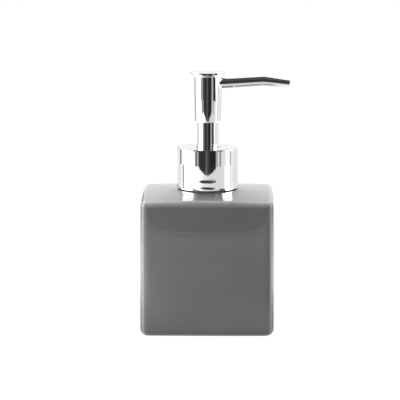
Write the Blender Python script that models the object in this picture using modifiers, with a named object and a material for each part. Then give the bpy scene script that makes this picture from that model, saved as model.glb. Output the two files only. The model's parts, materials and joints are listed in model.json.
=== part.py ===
"""Soap dispenser: a hollow ceramic block with a chromed press pump screwed into its mouth.

The bottle stands on z = 0 and the pump's axis is the Z axis. The spout points along +X and the
front faces -Y. Every piece is a separate object, parented to the empty of the group it moves with.
"""

import math

import bmesh
import bpy
from mathutils import Vector

# Ceramic bottle, in metres
BODY_WIDTH = 0.0750
BODY_EDGE_HEIGHT = 0.0753
BODY_EDGE_RADIUS = 0.0050
TOP_CROWN = 0.0031
SIDE_CROWN = 0.0007
BODY_WALL = 0.0045
BODY_FLOOR = 0.0060
BODY_CEILING = 0.0055
CAVITY_EDGE_RADIUS = 0.0060
LAND_DROP = 0.0011

# Threaded neck plugged into the mouth, and its seals
MOUTH_SEAL_THICKNESS = 0.0008
NECK_FLANGE_CLEARANCE = 0.0009
NECK_FLANGE_THICKNESS = 0.0012
NECK_PLUG_DEPTH = 0.0067
NECK_WALL = 0.0022
NECK_BORE_CLEARANCE = 0.0016
GASKET_THICKNESS = 0.0012
GASKET_INSET = 0.0001
THREAD_DEPTH = 0.0010

# Chromed collar and the screw cap inside it
COLLAR_HEIGHT = 0.0228
COLLAR_REVEAL = 0.0001
COLLAR_WALL = 0.0007
COLLAR_TOP_THICKNESS = 0.0008
COLLAR_EDGE_RADIUS = 0.0006
CLOSURE_WALL = 0.0020
CLOSURE_PLATE_THICKNESS = 0.0015
CLOSURE_RIM_HEIGHT = 0.0041
CLOSURE_RIM_WALL = 0.0014
CLOSURE_FOOT_CLEARANCE = 0.0003
CLOSURE_HOLE_CLEARANCE = 0.0004

# Pump housing, guide ring and dip tube
HOUSING_FLANGE_THICKNESS = 0.0014
HOUSING_LEDGE_WIDTH = 0.0012
HOUSING_WALL = 0.0009
HOUSING_BORE_LENGTH = 0.0340
HOUSING_VENT_RADIUS = 0.0005
HOUSING_TAPER_LENGTH = 0.0016
GUIDE_LENGTH = 0.0083
GUIDE_WALL = 0.00125
GUIDE_FLANGE_OVERHANG = 0.0006
GUIDE_TOP_CLEARANCE = 0.0009
VALVE_CHAMBER_RADIUS = 0.0034
VALVE_CHAMBER_HEIGHT = 0.0041
VALVE_THROAT_RADIUS = 0.0018
VALVE_THROAT_LENGTH = 0.0010
VALVE_CHAMBER_WALL = 0.0011
TUBE_SOCKET_LENGTH = 0.0080
TUBE_RADIUS = 0.00245
TUBE_WALL = 0.00075
TUBE_FLOOR_CLEARANCE = 0.0020
TUBE_TIP_ANGLE = math.radians(35.0)
INLET_BALL_RADIUS = 0.0024
RETAINER_THICKNESS = 0.0015
RETAINER_HOLE_RADIUS = 0.0008
RETAINER_HOLE_PITCH_RADIUS = 0.0023
RETAINER_HOLES = 4

# Return spring
SPRING_COIL_RADIUS = 0.0046
SPRING_WIRE_RADIUS = 0.00045
SPRING_TURNS = 8
SPRING_END_TURNS = 1
SPRING_END_PITCH = 0.0015
SPRING_POINTS_PER_TURN = 9

# Piston, stem and sleeve
OUTLET_BALL_RADIUS = 0.0019
OUTLET_BALL_CLEARANCE = 0.0006
OUTLET_SEAT_RIM = 0.0002
PISTON_FLANGE_CLEARANCE = 0.0014
PISTON_FLANGE_THICKNESS = 0.0015
PISTON_SPIGOT_LENGTH = 0.0030
PISTON_SPIGOT_WALL = 0.0010
PISTON_SEAL_HEIGHT = 0.0049
PISTON_SEAL_WALL = 0.0016
PISTON_LIP_FLARE = 0.0013
PISTON_LIP_HEIGHT = 0.0016
PISTON_LIP_THICKNESS = 0.0005
STEM_WALL = 0.0015
STEM_FLOW_RADIUS = 0.0016
STEM_BALL_ROOM = 0.0080
STEM_FOOT_CLEARANCE = 0.00105
STEM_COLLAR_STEP = 0.0012
STEM_COLLAR_THICKNESS = 0.0015
STEM_SOCKET_DEPTH = 0.0090
SLEEVE_WALL = 0.0006
SLEEVE_COVERED = 0.0063
SLEEVE_IN_HEAD = 0.0035

# Head, cap and spout
HEAD_LIFT = 0.0142
HEAD_WALL = 0.0007
HEAD_LIP_WIDTH = 0.00025
HEAD_TAPER = 0.0004
HEAD_TAPER_HEIGHT = 0.0080
HEAD_FOOT_FILLET = 0.0007
HEAD_FLARE_SPREAD = 0.0016
HEAD_FLARE_HEIGHT = 0.0012
HEAD_FLARE_WAIST_SHARE = 0.35
HEAD_SHELL_HEIGHT = 0.0260
HEAD_INSERT_CLEARANCE = 0.0006
CAP_OVERHANG = 0.0004
CAP_RIM_THICKNESS = 0.0010
CAP_EDGE_RADIUS = 0.0004
CAP_CROWN = 0.0003
CAP_SHOULDER_SHARE = 0.85
CAP_BOSS_CLEARANCE = 0.0005
SPOUT_SHOULDER = 0.0010
SPOUT_REACH = 0.0459
SPOUT_BEND_X = 0.0315
SPOUT_BEND_RISE = 0.0015
SPOUT_TIP_DROP = 0.0001
SPOUT_TAIL_X = 0.0033
SPOUT_ROOT_RADIUS = 0.00255
SPOUT_BEND_SECTION_RADIUS = 0.00228
SPOUT_TIP_RADIUS = 0.00178
SPOUT_BORE_RADIUS = 0.0012
SPOUT_BEND_RADIUS = 0.0120
SPOUT_BEND_STEPS = 4
SPOUT_FAIRING_SPREAD = 0.00135
SPOUT_FAIRING_LENGTH = 0.0022
SPOUT_FAIRING_STEPS = 5

# Clearances and cutting
SEAT_GAP = 0.0003
RUNNING_GAP = 0.00035
COLLAR_HOLE_GAP = 0.0005
CUT_OVERRUN = 0.0010
WELD = 0.00001
MM_PER_METRE = 1000

# Smoothness of round shapes
SHOWN_STEPS = 40
HIDDEN_STEPS = 28
SMALL_STEPS = 20
FILLET_STEPS = 3
SHARP_ANGLE = math.radians(35.0)
BEVEL_ANGLE = math.radians(50.0)

# Levels up the axis, worked out from the sizes above
BODY_TOP = BODY_EDGE_HEIGHT + TOP_CROWN
LAND_Z = BODY_TOP - LAND_DROP
MOUTH_SEAL_Z = LAND_Z + SEAT_GAP
NECK_FLANGE_Z = MOUTH_SEAL_Z + MOUTH_SEAL_THICKNESS + SEAT_GAP
NECK_SHOULDER_Z = NECK_FLANGE_Z + NECK_FLANGE_THICKNESS
COLLAR_Z = BODY_TOP + COLLAR_REVEAL
COLLAR_TOP_Z = COLLAR_Z + COLLAR_HEIGHT
COLLAR_UNDER_Z = COLLAR_TOP_Z - COLLAR_TOP_THICKNESS
CLOSURE_TOP_Z = COLLAR_UNDER_Z - SEAT_GAP
CLOSURE_PLATE_TOP_Z = CLOSURE_TOP_Z - CLOSURE_RIM_HEIGHT
CLOSURE_PLATE_Z = CLOSURE_PLATE_TOP_Z - CLOSURE_PLATE_THICKNESS
HOUSING_TOP_Z = CLOSURE_PLATE_Z - SEAT_GAP
HOUSING_FLANGE_Z = HOUSING_TOP_Z - HOUSING_FLANGE_THICKNESS
GASKET_TOP_Z = HOUSING_FLANGE_Z - SEAT_GAP
GASKET_Z = GASKET_TOP_Z - GASKET_THICKNESS
NECK_TOP_Z = GASKET_Z - SEAT_GAP
GUIDE_TOP_Z = COLLAR_UNDER_Z - GUIDE_TOP_CLEARANCE
GUIDE_FLANGE_Z = HOUSING_TOP_Z + SEAT_GAP
GUIDE_Z = GUIDE_FLANGE_Z - GUIDE_LENGTH
HOUSING_LEDGE_Z = GUIDE_Z - SEAT_GAP
HOUSING_SHOULDER_Z = HOUSING_LEDGE_Z - HOUSING_BORE_LENGTH
RETAINER_Z = HOUSING_SHOULDER_Z + SEAT_GAP
RETAINER_TOP_Z = RETAINER_Z + RETAINER_THICKNESS
SPRING_Z = RETAINER_TOP_Z + SEAT_GAP
PISTON_SEAL_TOP_Z = GUIDE_Z - SEAT_GAP
PISTON_SEAL_Z = PISTON_SEAL_TOP_Z - PISTON_SEAL_HEIGHT
PISTON_FLANGE_TOP_Z = PISTON_SEAL_Z - SEAT_GAP
PISTON_CORE_Z = PISTON_FLANGE_TOP_Z - PISTON_FLANGE_THICKNESS
SPRING_TOP_Z = PISTON_CORE_Z - SEAT_GAP
STEM_Z = PISTON_SEAL_TOP_Z + SEAT_GAP
PISTON_SPIGOT_TOP_Z = STEM_Z + PISTON_SPIGOT_LENGTH
HEAD_Z = COLLAR_TOP_Z + HEAD_LIFT
SLEEVE_Z = COLLAR_TOP_Z - SLEEVE_COVERED
SLEEVE_TOP_Z = HEAD_Z + SLEEVE_IN_HEAD
HEAD_INSERT_Z = SLEEVE_TOP_Z + SEAT_GAP
STEM_TOP_Z = HEAD_INSERT_Z + STEM_SOCKET_DEPTH - SEAT_GAP
HEAD_SHELL_TOP_Z = HEAD_Z + HEAD_SHELL_HEIGHT
CAP_Z = HEAD_SHELL_TOP_Z + SEAT_GAP
SPOUT_Z = HEAD_SHELL_TOP_Z - HEAD_FLARE_HEIGHT - SPOUT_SHOULDER - SPOUT_ROOT_RADIUS
VALVE_SEAT_TOP_Z = HOUSING_SHOULDER_Z - VALVE_CHAMBER_HEIGHT
VALVE_SEAT_Z = VALVE_SEAT_TOP_Z - (VALVE_CHAMBER_RADIUS - VALVE_THROAT_RADIUS)
TUBE_STOP_Z = VALVE_SEAT_Z - VALVE_THROAT_LENGTH
HOUSING_FOOT_Z = TUBE_STOP_Z - TUBE_SOCKET_LENGTH

# Radii that fit in or on each other, from the outlet ball out to the collar
STEM_BORE_RADIUS = OUTLET_BALL_RADIUS + OUTLET_BALL_CLEARANCE
STEM_RADIUS = STEM_BORE_RADIUS + STEM_WALL
STEM_COLLAR_RADIUS = STEM_RADIUS + STEM_COLLAR_STEP
SLEEVE_BORE_RADIUS = STEM_COLLAR_RADIUS + SEAT_GAP
SLEEVE_RADIUS = SLEEVE_BORE_RADIUS + SLEEVE_WALL
GUIDE_BORE_RADIUS = SLEEVE_RADIUS + RUNNING_GAP
GUIDE_RADIUS = GUIDE_BORE_RADIUS + GUIDE_WALL
HOUSING_COUNTERBORE_RADIUS = GUIDE_RADIUS + SEAT_GAP
HOUSING_TOP_RADIUS = HOUSING_COUNTERBORE_RADIUS + HOUSING_WALL
GUIDE_FLANGE_RADIUS = HOUSING_TOP_RADIUS + GUIDE_FLANGE_OVERHANG
NECK_BORE_RADIUS = HOUSING_TOP_RADIUS + NECK_BORE_CLEARANCE
GASKET_INNER_RADIUS = NECK_BORE_RADIUS + GASKET_INSET
NECK_RADIUS = NECK_BORE_RADIUS + NECK_WALL
HOUSING_FLANGE_RADIUS = NECK_RADIUS - SEAT_GAP
MOUTH_RADIUS = NECK_RADIUS + SEAT_GAP
THREAD_RADIUS = NECK_RADIUS + THREAD_DEPTH
CLOSURE_BORE_RADIUS = THREAD_RADIUS + SEAT_GAP
CLOSURE_RADIUS = CLOSURE_BORE_RADIUS + CLOSURE_WALL
COLLAR_BORE_RADIUS = CLOSURE_RADIUS + SEAT_GAP
COLLAR_RADIUS = COLLAR_BORE_RADIUS + COLLAR_WALL
NECK_FLANGE_RADIUS = COLLAR_BORE_RADIUS - NECK_FLANGE_CLEARANCE
LAND_RADIUS = NECK_FLANGE_RADIUS + SEAT_GAP

# Radii inside the housing
HOUSING_BORE_RADIUS = HOUSING_COUNTERBORE_RADIUS - HOUSING_LEDGE_WIDTH
PISTON_LIP_RADIUS = HOUSING_BORE_RADIUS - SEAT_GAP
PISTON_SEAL_WAIST_RADIUS = PISTON_LIP_RADIUS - PISTON_LIP_FLARE
PISTON_CORE_RADIUS = PISTON_SEAL_WAIST_RADIUS - PISTON_SEAL_WALL
PISTON_FLANGE_RADIUS = HOUSING_BORE_RADIUS - PISTON_FLANGE_CLEARANCE
PISTON_SPIGOT_RADIUS = STEM_BORE_RADIUS - SEAT_GAP
PISTON_PORT_RADIUS = PISTON_SPIGOT_RADIUS - PISTON_SPIGOT_WALL
OUTLET_SEAT_RADIUS = PISTON_SPIGOT_RADIUS - OUTLET_SEAT_RIM
OUTLET_SEAT_Z = PISTON_SPIGOT_TOP_Z - (OUTLET_SEAT_RADIUS - PISTON_PORT_RADIUS)
STEM_FOOT_RADIUS = GUIDE_BORE_RADIUS - STEM_FOOT_CLEARANCE
TUBE_SOCKET_RADIUS = TUBE_RADIUS + SEAT_GAP

# Radii of the head, from the sleeve that it rides on out to the cap
HEAD_LIP_RADIUS = SLEEVE_RADIUS + RUNNING_GAP
HEAD_FOOT_RADIUS = HEAD_LIP_RADIUS + HEAD_LIP_WIDTH + HEAD_WALL
HEAD_RADIUS = HEAD_FOOT_RADIUS + HEAD_TAPER
HEAD_BORE_RADIUS = HEAD_RADIUS - HEAD_WALL
HEAD_INSERT_RADIUS = HEAD_BORE_RADIUS - HEAD_INSERT_CLEARANCE
HEAD_FLARE_RADIUS = HEAD_RADIUS + HEAD_FLARE_SPREAD
CAP_BOSS_RADIUS = HEAD_BORE_RADIUS - CAP_BOSS_CLEARANCE
CAP_RADIUS = HEAD_FLARE_RADIUS + CAP_OVERHANG
SPOUT_FAIRING_RADIUS = SPOUT_ROOT_RADIUS + SPOUT_FAIRING_SPREAD

PARTS = "soap_dispenser"
CUTTERS = "soap_dispenser_cutters"


def add_collection(name):
    """Make an empty collection in the scene, or empty the one that is there."""
    found = bpy.data.collections.get(name)
    if found:
        bpy.data.collections.remove(found)
    made = bpy.data.collections.new(name)
    bpy.context.scene.collection.children.link(made)
    return made


def add_group(name):
    """An empty on the pump's axis, for pieces that move together."""
    empty = bpy.data.objects.new(name, None)
    empty.empty_display_size = BODY_WIDTH
    bpy.data.collections[PARTS].objects.link(empty)
    return empty


def add_material(name, colour, roughness, metallic=0.0, transmission=0.0):
    """A plain Principled material."""
    material = bpy.data.materials.new(name)
    material.use_nodes = True
    shader = material.node_tree.nodes["Principled BSDF"]
    shader.inputs["Base Color"].default_value = (*colour, 1.0)
    shader.inputs["Roughness"].default_value = roughness
    shader.inputs["Metallic"].default_value = metallic
    shader.inputs["Transmission Weight"].default_value = transmission
    material.diffuse_color = (*colour, 1.0)
    return material


def add_piece(name, data, material, group):
    """Put a mesh or curve in the scene as one piece of the dispenser."""
    piece = bpy.data.objects.new(name, data)
    piece.parent = group
    piece.data.materials.append(material)
    bpy.data.collections[PARTS].objects.link(piece)
    return piece


def add_cutter(name, mesh):
    """Put a mesh in the scene as a cutter, shown as a wire and never rendered."""
    cutter = bpy.data.objects.new(name, mesh)
    cutter.display_type = "WIRE"
    cutter.hide_render = True
    bpy.data.collections[CUTTERS].objects.link(cutter)
    return cutter


def filleted(corners, closed):
    """Points of an outline whose corners are (radius, height) or (radius, height, fillet)."""
    points = []
    for index, corner in enumerate(corners):
        here = Vector(corner[:2])
        at_end = not closed and index in (0, len(corners) - 1)
        if len(corner) == 2 or at_end:
            points.append(here)
            continue
        fillet = corner[2]
        before = (Vector(corners[index - 1][:2]) - here).normalized()
        after = (Vector(corners[(index + 1) % len(corners)][:2]) - here).normalized()
        half_angle = before.angle(after) / 2
        centre = here + (before + after).normalized() * fillet / math.sin(half_angle)
        start = here + before * fillet / math.tan(half_angle) - centre
        end = here + after * fillet / math.tan(half_angle) - centre
        for step in range(FILLET_STEPS + 1):
            spoke = start.lerp(end, step / FILLET_STEPS).normalized()
            points.append(centre + spoke * fillet)
    return points


def turned(name, corners, material, group, steps=HIDDEN_STEPS, closed=True):
    """Turn an outline about the axis: closed for a ring, open where it starts and ends on the axis."""
    points = filleted(corners, closed)
    edges = [(index, index + 1) for index in range(len(points) - 1)]
    if closed:
        edges.append((len(points) - 1, 0))
    mesh = bpy.data.meshes.new(name)
    mesh.from_pydata([(radius, 0, height) for radius, height in points], edges, [])
    piece = add_piece(name, mesh, material, group)
    screw = piece.modifiers.new("Turn", "SCREW")
    screw.steps = steps
    screw.render_steps = steps
    screw.use_merge_vertices = True
    screw.merge_threshold = WELD
    return piece


def cylinder_mesh(name, radius, length, steps):
    """A closed cylinder that starts at its origin and runs along +Z."""
    mesh = bpy.data.meshes.new(name)
    shape = bmesh.new()
    bmesh.ops.create_cone(
        shape, cap_ends=True, segments=steps, radius1=radius, radius2=radius, depth=length
    )
    bmesh.ops.translate(shape, verts=shape.verts, vec=(0, 0, length / 2))
    shape.to_mesh(mesh)
    shape.free()
    return mesh


def upright_cutter(name, radius, low, high, place=(0, 0), steps=HIDDEN_STEPS):
    """A round cutter along the pump's axis, or beside it, between two levels."""
    cutter = add_cutter(name, cylinder_mesh(name, radius, high - low, steps))
    cutter.location = (*place, low)
    return cutter


def sideways_cutter(name, radius, start, end, level, steps=SMALL_STEPS):
    """A round cutter along +X between two distances from the pump's axis."""
    cutter = add_cutter(name, cylinder_mesh(name, radius, end - start, steps))
    cutter.location = (start, 0, level)
    cutter.rotation_euler = (0, math.pi / 2, 0)
    return cutter


def combine(piece, other, operation):
    """Join another shape to a piece, or take it out."""
    boolean = piece.modifiers.new(other.name, "BOOLEAN")
    boolean.operation = operation
    boolean.solver = "EXACT"
    boolean.object = other


def cut(piece, cutter):
    """Take a cutter out of a piece."""
    combine(piece, cutter, "DIFFERENCE")


def crowned_mesh(name, half_width, base, edge_height, side_crown, top_crown, cuts):
    """A box whose sides and top swell gently from their edges to their middles."""
    mesh = bpy.data.meshes.new(name)
    shape = bmesh.new()
    bmesh.ops.create_cube(shape, size=2)
    bmesh.ops.subdivide_edges(shape, edges=shape.edges[:], cuts=cuts, use_grid_fill=True)
    for vertex in shape.verts:
        across, along, up = vertex.co
        across_fall = 1 - across**2
        along_fall = 1 - along**2
        up_fall = 1 - up**2
        x = across * (half_width - side_crown * (1 - along_fall * up_fall))
        y = along * (half_width - side_crown * (1 - across_fall * up_fall))
        z = base + edge_height * (up + 1) / 2 + top_crown * across_fall * along_fall * max(up, 0)
        vertex.co = (x, y, z)
    shape.to_mesh(mesh)
    shape.free()
    return mesh


def round_edges(piece, radius, steps):
    """Round the box edges of a piece, and leave its gentle crowns alone."""
    bevel = piece.modifiers.new("Rounded edges", "BEVEL")
    bevel.width = radius
    bevel.segments = steps
    bevel.limit_method = "ANGLE"
    bevel.angle_limit = BEVEL_ANGLE


def tube_curve(name, points, radius, shares, resolution):
    """A capped tube along points, whose radius at each point is a share of the given one."""
    curve = bpy.data.curves.new(name, "CURVE")
    curve.dimensions = "3D"
    curve.bevel_depth = radius
    curve.bevel_resolution = resolution
    curve.use_fill_caps = True
    spline = curve.splines.new("POLY")
    spline.points.add(len(points) - 1)
    for place, point, share in zip(spline.points, points, shares):
        place.co = (*point, 1)
        place.radius = share
    return curve


def mesh_from_curve(curve):
    """The closed mesh of a tube curve, with its caps welded on."""
    holder = bpy.data.objects.new(curve.name, curve)
    bpy.context.scene.collection.objects.link(holder)
    evaluated = holder.evaluated_get(bpy.context.evaluated_depsgraph_get())
    mesh = bpy.data.meshes.new_from_object(evaluated)
    bpy.data.objects.remove(holder)
    shape = bmesh.new()
    shape.from_mesh(mesh)
    bmesh.ops.remove_doubles(shape, verts=shape.verts, dist=WELD)
    bmesh.ops.recalc_face_normals(shape, faces=shape.faces)
    shape.to_mesh(mesh)
    shape.free()
    return mesh


def seated_ball_height(seat_level, throat_radius, ball_radius):
    """Centre of a ball that rests, with the seat gap, on a 45 degree seat above its throat."""
    return seat_level - throat_radius + (ball_radius + SEAT_GAP) * math.sqrt(2)


def add_ball(name, radius, height, material, group):
    """A valve ball on the axis."""
    mesh = bpy.data.meshes.new(name)
    shape = bmesh.new()
    bmesh.ops.create_uvsphere(shape, u_segments=16, v_segments=10, radius=radius)
    shape.to_mesh(mesh)
    shape.free()
    ball = add_piece(name, mesh, material, group)
    ball.location = (0, 0, height)
    return ball


def build_bottle(material, group):
    """Hollow ceramic block: crowned outside, a like cavity inside, and a mouth with a flat land."""
    outer = crowned_mesh(
        "bottle", BODY_WIDTH / 2, 0, BODY_EDGE_HEIGHT, SIDE_CROWN, TOP_CROWN, cuts=7
    )
    bottle = add_piece("bottle", outer, material, group)
    round_edges(bottle, BODY_EDGE_RADIUS, steps=4)
    cavity_height = BODY_EDGE_HEIGHT - BODY_FLOOR - BODY_CEILING
    inner = crowned_mesh(
        "bottle_cavity", BODY_WIDTH / 2 - BODY_WALL, BODY_FLOOR, cavity_height,
        SIDE_CROWN, TOP_CROWN, cuts=3,
    )
    cavity = add_cutter("bottle_cavity", inner)
    round_edges(cavity, CAVITY_EDGE_RADIUS, steps=3)
    cut(bottle, cavity)
    middle = BODY_TOP / 2
    above = BODY_TOP + CUT_OVERRUN
    cut(bottle, upright_cutter("bottle_mouth", MOUTH_RADIUS, middle, above, steps=SHOWN_STEPS))
    cut(bottle, upright_cutter("mouth_land", LAND_RADIUS, LAND_Z, above, steps=SHOWN_STEPS))


def build_mouth_seal(material, group):
    """Soft ring on the mouth's land, under the neck's flange."""
    top = MOUTH_SEAL_Z + MOUTH_SEAL_THICKNESS
    inner_radius = MOUTH_RADIUS + SEAT_GAP
    corners = [
        (NECK_FLANGE_RADIUS, top),
        (NECK_FLANGE_RADIUS, MOUTH_SEAL_Z),
        (inner_radius, MOUTH_SEAL_Z),
        (inner_radius, top),
    ]
    turned("mouth_seal", corners, material, group)


def build_neck_insert(material, group):
    """Plastic neck: a plug in the ceramic mouth, a flange on its seal and a neck for the closure."""
    foot = NECK_FLANGE_Z - NECK_PLUG_DEPTH
    corners = [
        (NECK_RADIUS, NECK_TOP_Z, SEAT_GAP),
        (NECK_RADIUS, NECK_SHOULDER_Z),
        (NECK_FLANGE_RADIUS, NECK_SHOULDER_Z),
        (NECK_FLANGE_RADIUS, NECK_FLANGE_Z),
        (NECK_RADIUS, NECK_FLANGE_Z),
        (NECK_RADIUS, foot),
        (NECK_BORE_RADIUS, foot),
        (NECK_BORE_RADIUS, NECK_TOP_Z),
    ]
    turned("neck_insert", corners, material, group)


def build_neck_gasket(material, group):
    """Flat gasket on the neck's rim."""
    corners = [
        (HOUSING_FLANGE_RADIUS, GASKET_TOP_Z),
        (HOUSING_FLANGE_RADIUS, GASKET_Z),
        (GASKET_INNER_RADIUS, GASKET_Z),
        (GASKET_INNER_RADIUS, GASKET_TOP_Z),
    ]
    turned("neck_gasket", corners, material, group)


def build_closure(material, group):
    """Screw cap: its plate holds the housing's flange down and its rim carries the chromed shell."""
    foot = NECK_SHOULDER_Z + CLOSURE_FOOT_CLEARANCE
    hole_radius = GUIDE_FLANGE_RADIUS + CLOSURE_HOLE_CLEARANCE
    rim_radius = CLOSURE_RADIUS - CLOSURE_RIM_WALL
    corners = [
        (CLOSURE_RADIUS, CLOSURE_TOP_Z, SEAT_GAP),
        (CLOSURE_RADIUS, foot),
        (CLOSURE_BORE_RADIUS, foot),
        (CLOSURE_BORE_RADIUS, CLOSURE_PLATE_Z),
        (hole_radius, CLOSURE_PLATE_Z),
        (hole_radius, CLOSURE_PLATE_TOP_Z),
        (rim_radius, CLOSURE_PLATE_TOP_Z),
        (rim_radius, CLOSURE_TOP_Z),
    ]
    turned("closure", corners, material, group)


def build_collar_shell(material, group):
    """Chromed cover of the screw cap, with a hole for the sleeve."""
    hole_radius = SLEEVE_RADIUS + COLLAR_HOLE_GAP
    corners = [
        (COLLAR_RADIUS, COLLAR_TOP_Z, COLLAR_EDGE_RADIUS),
        (COLLAR_RADIUS, COLLAR_Z),
        (COLLAR_BORE_RADIUS, COLLAR_Z),
        (COLLAR_BORE_RADIUS, COLLAR_UNDER_Z),
        (hole_radius, COLLAR_UNDER_Z),
        (hole_radius, COLLAR_TOP_Z),
    ]
    turned("collar_shell", corners, material, group, steps=SHOWN_STEPS)


def build_guide_ring(material, group):
    """Bush in the housing's top that guides the sleeve and stops the piston."""
    corners = [
        (GUIDE_FLANGE_RADIUS, GUIDE_TOP_Z, SEAT_GAP),
        (GUIDE_FLANGE_RADIUS, GUIDE_FLANGE_Z),
        (GUIDE_RADIUS, GUIDE_FLANGE_Z),
        (GUIDE_RADIUS, GUIDE_Z),
        (GUIDE_BORE_RADIUS, GUIDE_Z),
        (GUIDE_BORE_RADIUS, GUIDE_TOP_Z),
    ]
    turned("guide_ring", corners, material, group)


def build_pump_housing(material, group):
    """Stepped cylinder: guide counterbore, piston bore, valve chamber, 45 degree seat and socket.

    The vent in its wall lets air into the bottle. The piston's seal covers it at rest.
    """
    bore_outer = HOUSING_BORE_RADIUS + HOUSING_WALL
    step_z = HOUSING_LEDGE_Z - HOUSING_WALL
    chamber_outer = VALVE_CHAMBER_RADIUS + VALVE_CHAMBER_WALL
    chamber_drop = HOUSING_SHOULDER_Z - HOUSING_WALL
    cone_drop = chamber_drop - (bore_outer - chamber_outer)
    corners = [
        (HOUSING_FLANGE_RADIUS, HOUSING_TOP_Z),
        (HOUSING_FLANGE_RADIUS, HOUSING_FLANGE_Z),
        (HOUSING_TOP_RADIUS, HOUSING_FLANGE_Z),
        (HOUSING_TOP_RADIUS, step_z),
        (bore_outer, step_z - HOUSING_TAPER_LENGTH),
        (bore_outer, chamber_drop),
        (chamber_outer, cone_drop),
        (chamber_outer, HOUSING_FOOT_Z),
        (TUBE_SOCKET_RADIUS, HOUSING_FOOT_Z),
        (TUBE_SOCKET_RADIUS, TUBE_STOP_Z),
        (VALVE_THROAT_RADIUS, TUBE_STOP_Z),
        (VALVE_THROAT_RADIUS, VALVE_SEAT_Z),
        (VALVE_CHAMBER_RADIUS, VALVE_SEAT_TOP_Z),
        (VALVE_CHAMBER_RADIUS, HOUSING_SHOULDER_Z),
        (HOUSING_BORE_RADIUS, HOUSING_SHOULDER_Z),
        (HOUSING_BORE_RADIUS, HOUSING_LEDGE_Z),
        (HOUSING_COUNTERBORE_RADIUS, HOUSING_LEDGE_Z),
        (HOUSING_COUNTERBORE_RADIUS, HOUSING_TOP_Z),
    ]
    housing = turned("pump_housing", corners, material, group)
    vent_z = (PISTON_SEAL_Z + PISTON_SEAL_TOP_Z) / 2
    start = HOUSING_BORE_RADIUS - CUT_OVERRUN
    end = bore_outer + CUT_OVERRUN
    cut(housing, sideways_cutter("vent", HOUSING_VENT_RADIUS, start, end, vent_z, steps=10))


def build_ball_retainer(material, group):
    """Drilled disc over the inlet ball, and the spring's lower seat."""
    radius = HOUSING_BORE_RADIUS - SEAT_GAP
    corners = [
        (0, RETAINER_TOP_Z),
        (radius, RETAINER_TOP_Z),
        (radius, RETAINER_Z),
        (0, RETAINER_Z),
    ]
    retainer = turned("ball_retainer", corners, material, group, closed=False)
    low = RETAINER_Z - CUT_OVERRUN
    high = RETAINER_TOP_Z + CUT_OVERRUN
    for index in range(RETAINER_HOLES):
        angle = math.tau * (index + 0.5) / RETAINER_HOLES
        place = (
            RETAINER_HOLE_PITCH_RADIUS * math.cos(angle),
            RETAINER_HOLE_PITCH_RADIUS * math.sin(angle),
        )
        name = f"retainer_hole_{index}"
        cut(retainer, upright_cutter(name, RETAINER_HOLE_RADIUS, low, high, place, steps=10))


def build_dip_tube(material, group):
    """Suction tube from the housing's socket almost to the floor, cut at a slant at its foot."""
    top = TUBE_STOP_Z - SEAT_GAP
    foot = BODY_FLOOR + TUBE_FLOOR_CLEARANCE
    bore_radius = TUBE_RADIUS - TUBE_WALL
    corners = [
        (TUBE_RADIUS, top),
        (TUBE_RADIUS, foot),
        (bore_radius, foot),
        (bore_radius, top),
    ]
    tube = turned("dip_tube", corners, material, group, steps=SMALL_STEPS)
    reach = TUBE_RADIUS + CUT_OVERRUN
    slant = add_cutter("tube_slant", cylinder_mesh("tube_slant", reach * 2, reach * 2, SMALL_STEPS))
    slant.location = (0, 0, foot + TUBE_RADIUS * math.tan(TUBE_TIP_ANGLE))
    slant.rotation_euler = (0, math.pi - TUBE_TIP_ANGLE, 0)
    cut(tube, slant)


def spring_points():
    """Centre line of the spring: close at its end turns, open between them."""
    inner_length = SPRING_TOP_Z - SPRING_Z - SPRING_WIRE_RADIUS * 2
    end_rise = SPRING_END_PITCH * SPRING_END_TURNS
    open_turns = SPRING_TURNS - SPRING_END_TURNS * 2
    open_pitch = (inner_length - end_rise * 2) / open_turns
    points = []
    for index in range(SPRING_TURNS * SPRING_POINTS_PER_TURN + 1):
        turn = index / SPRING_POINTS_PER_TURN
        angle = math.tau * turn
        from_ends = min(turn, SPRING_TURNS - turn)
        open_turn = min(max(turn - SPRING_END_TURNS, 0), open_turns)
        end_turn = turn - open_turn
        height = SPRING_Z + SPRING_WIRE_RADIUS + end_turn * SPRING_END_PITCH + open_turn * open_pitch
        points.append(
            Vector((SPRING_COIL_RADIUS * math.cos(angle), SPRING_COIL_RADIUS * math.sin(angle), height))
        )
    return points


def least_coil_gap(points):
    """Least distance between the wire's surfaces on neighbouring turns."""
    skip = SPRING_POINTS_PER_TURN // 2
    least = min(
        (points[first] - points[second]).length
        for first in range(len(points))
        for second in range(first + skip, len(points))
    )
    return least - SPRING_WIRE_RADIUS * 2


def build_return_spring(material, group):
    """Compression spring from the retainer up to the piston's flange."""
    points = spring_points()
    gap = least_coil_gap(points)
    print(f"return_spring least gap between turns: {gap * MM_PER_METRE:.2f} mm")
    shares = [1] * len(points)
    curve = tube_curve("return_spring", points, SPRING_WIRE_RADIUS, shares, resolution=1)
    add_piece("return_spring", curve, material, group)


def build_piston_core(material, group):
    """Rigid core: spring flange, a waist for the seal, and a spigot with the outlet seat."""
    corners = [
        (PISTON_SPIGOT_RADIUS, PISTON_SPIGOT_TOP_Z),
        (PISTON_SPIGOT_RADIUS, PISTON_SEAL_TOP_Z),
        (PISTON_CORE_RADIUS, PISTON_SEAL_TOP_Z),
        (PISTON_CORE_RADIUS, PISTON_FLANGE_TOP_Z),
        (PISTON_FLANGE_RADIUS, PISTON_FLANGE_TOP_Z),
        (PISTON_FLANGE_RADIUS, PISTON_CORE_Z),
        (PISTON_PORT_RADIUS, PISTON_CORE_Z),
        (PISTON_PORT_RADIUS, OUTLET_SEAT_Z),
        (OUTLET_SEAT_RADIUS, PISTON_SPIGOT_TOP_Z),
    ]
    turned("piston_core", corners, material, group, steps=SMALL_STEPS)


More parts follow.
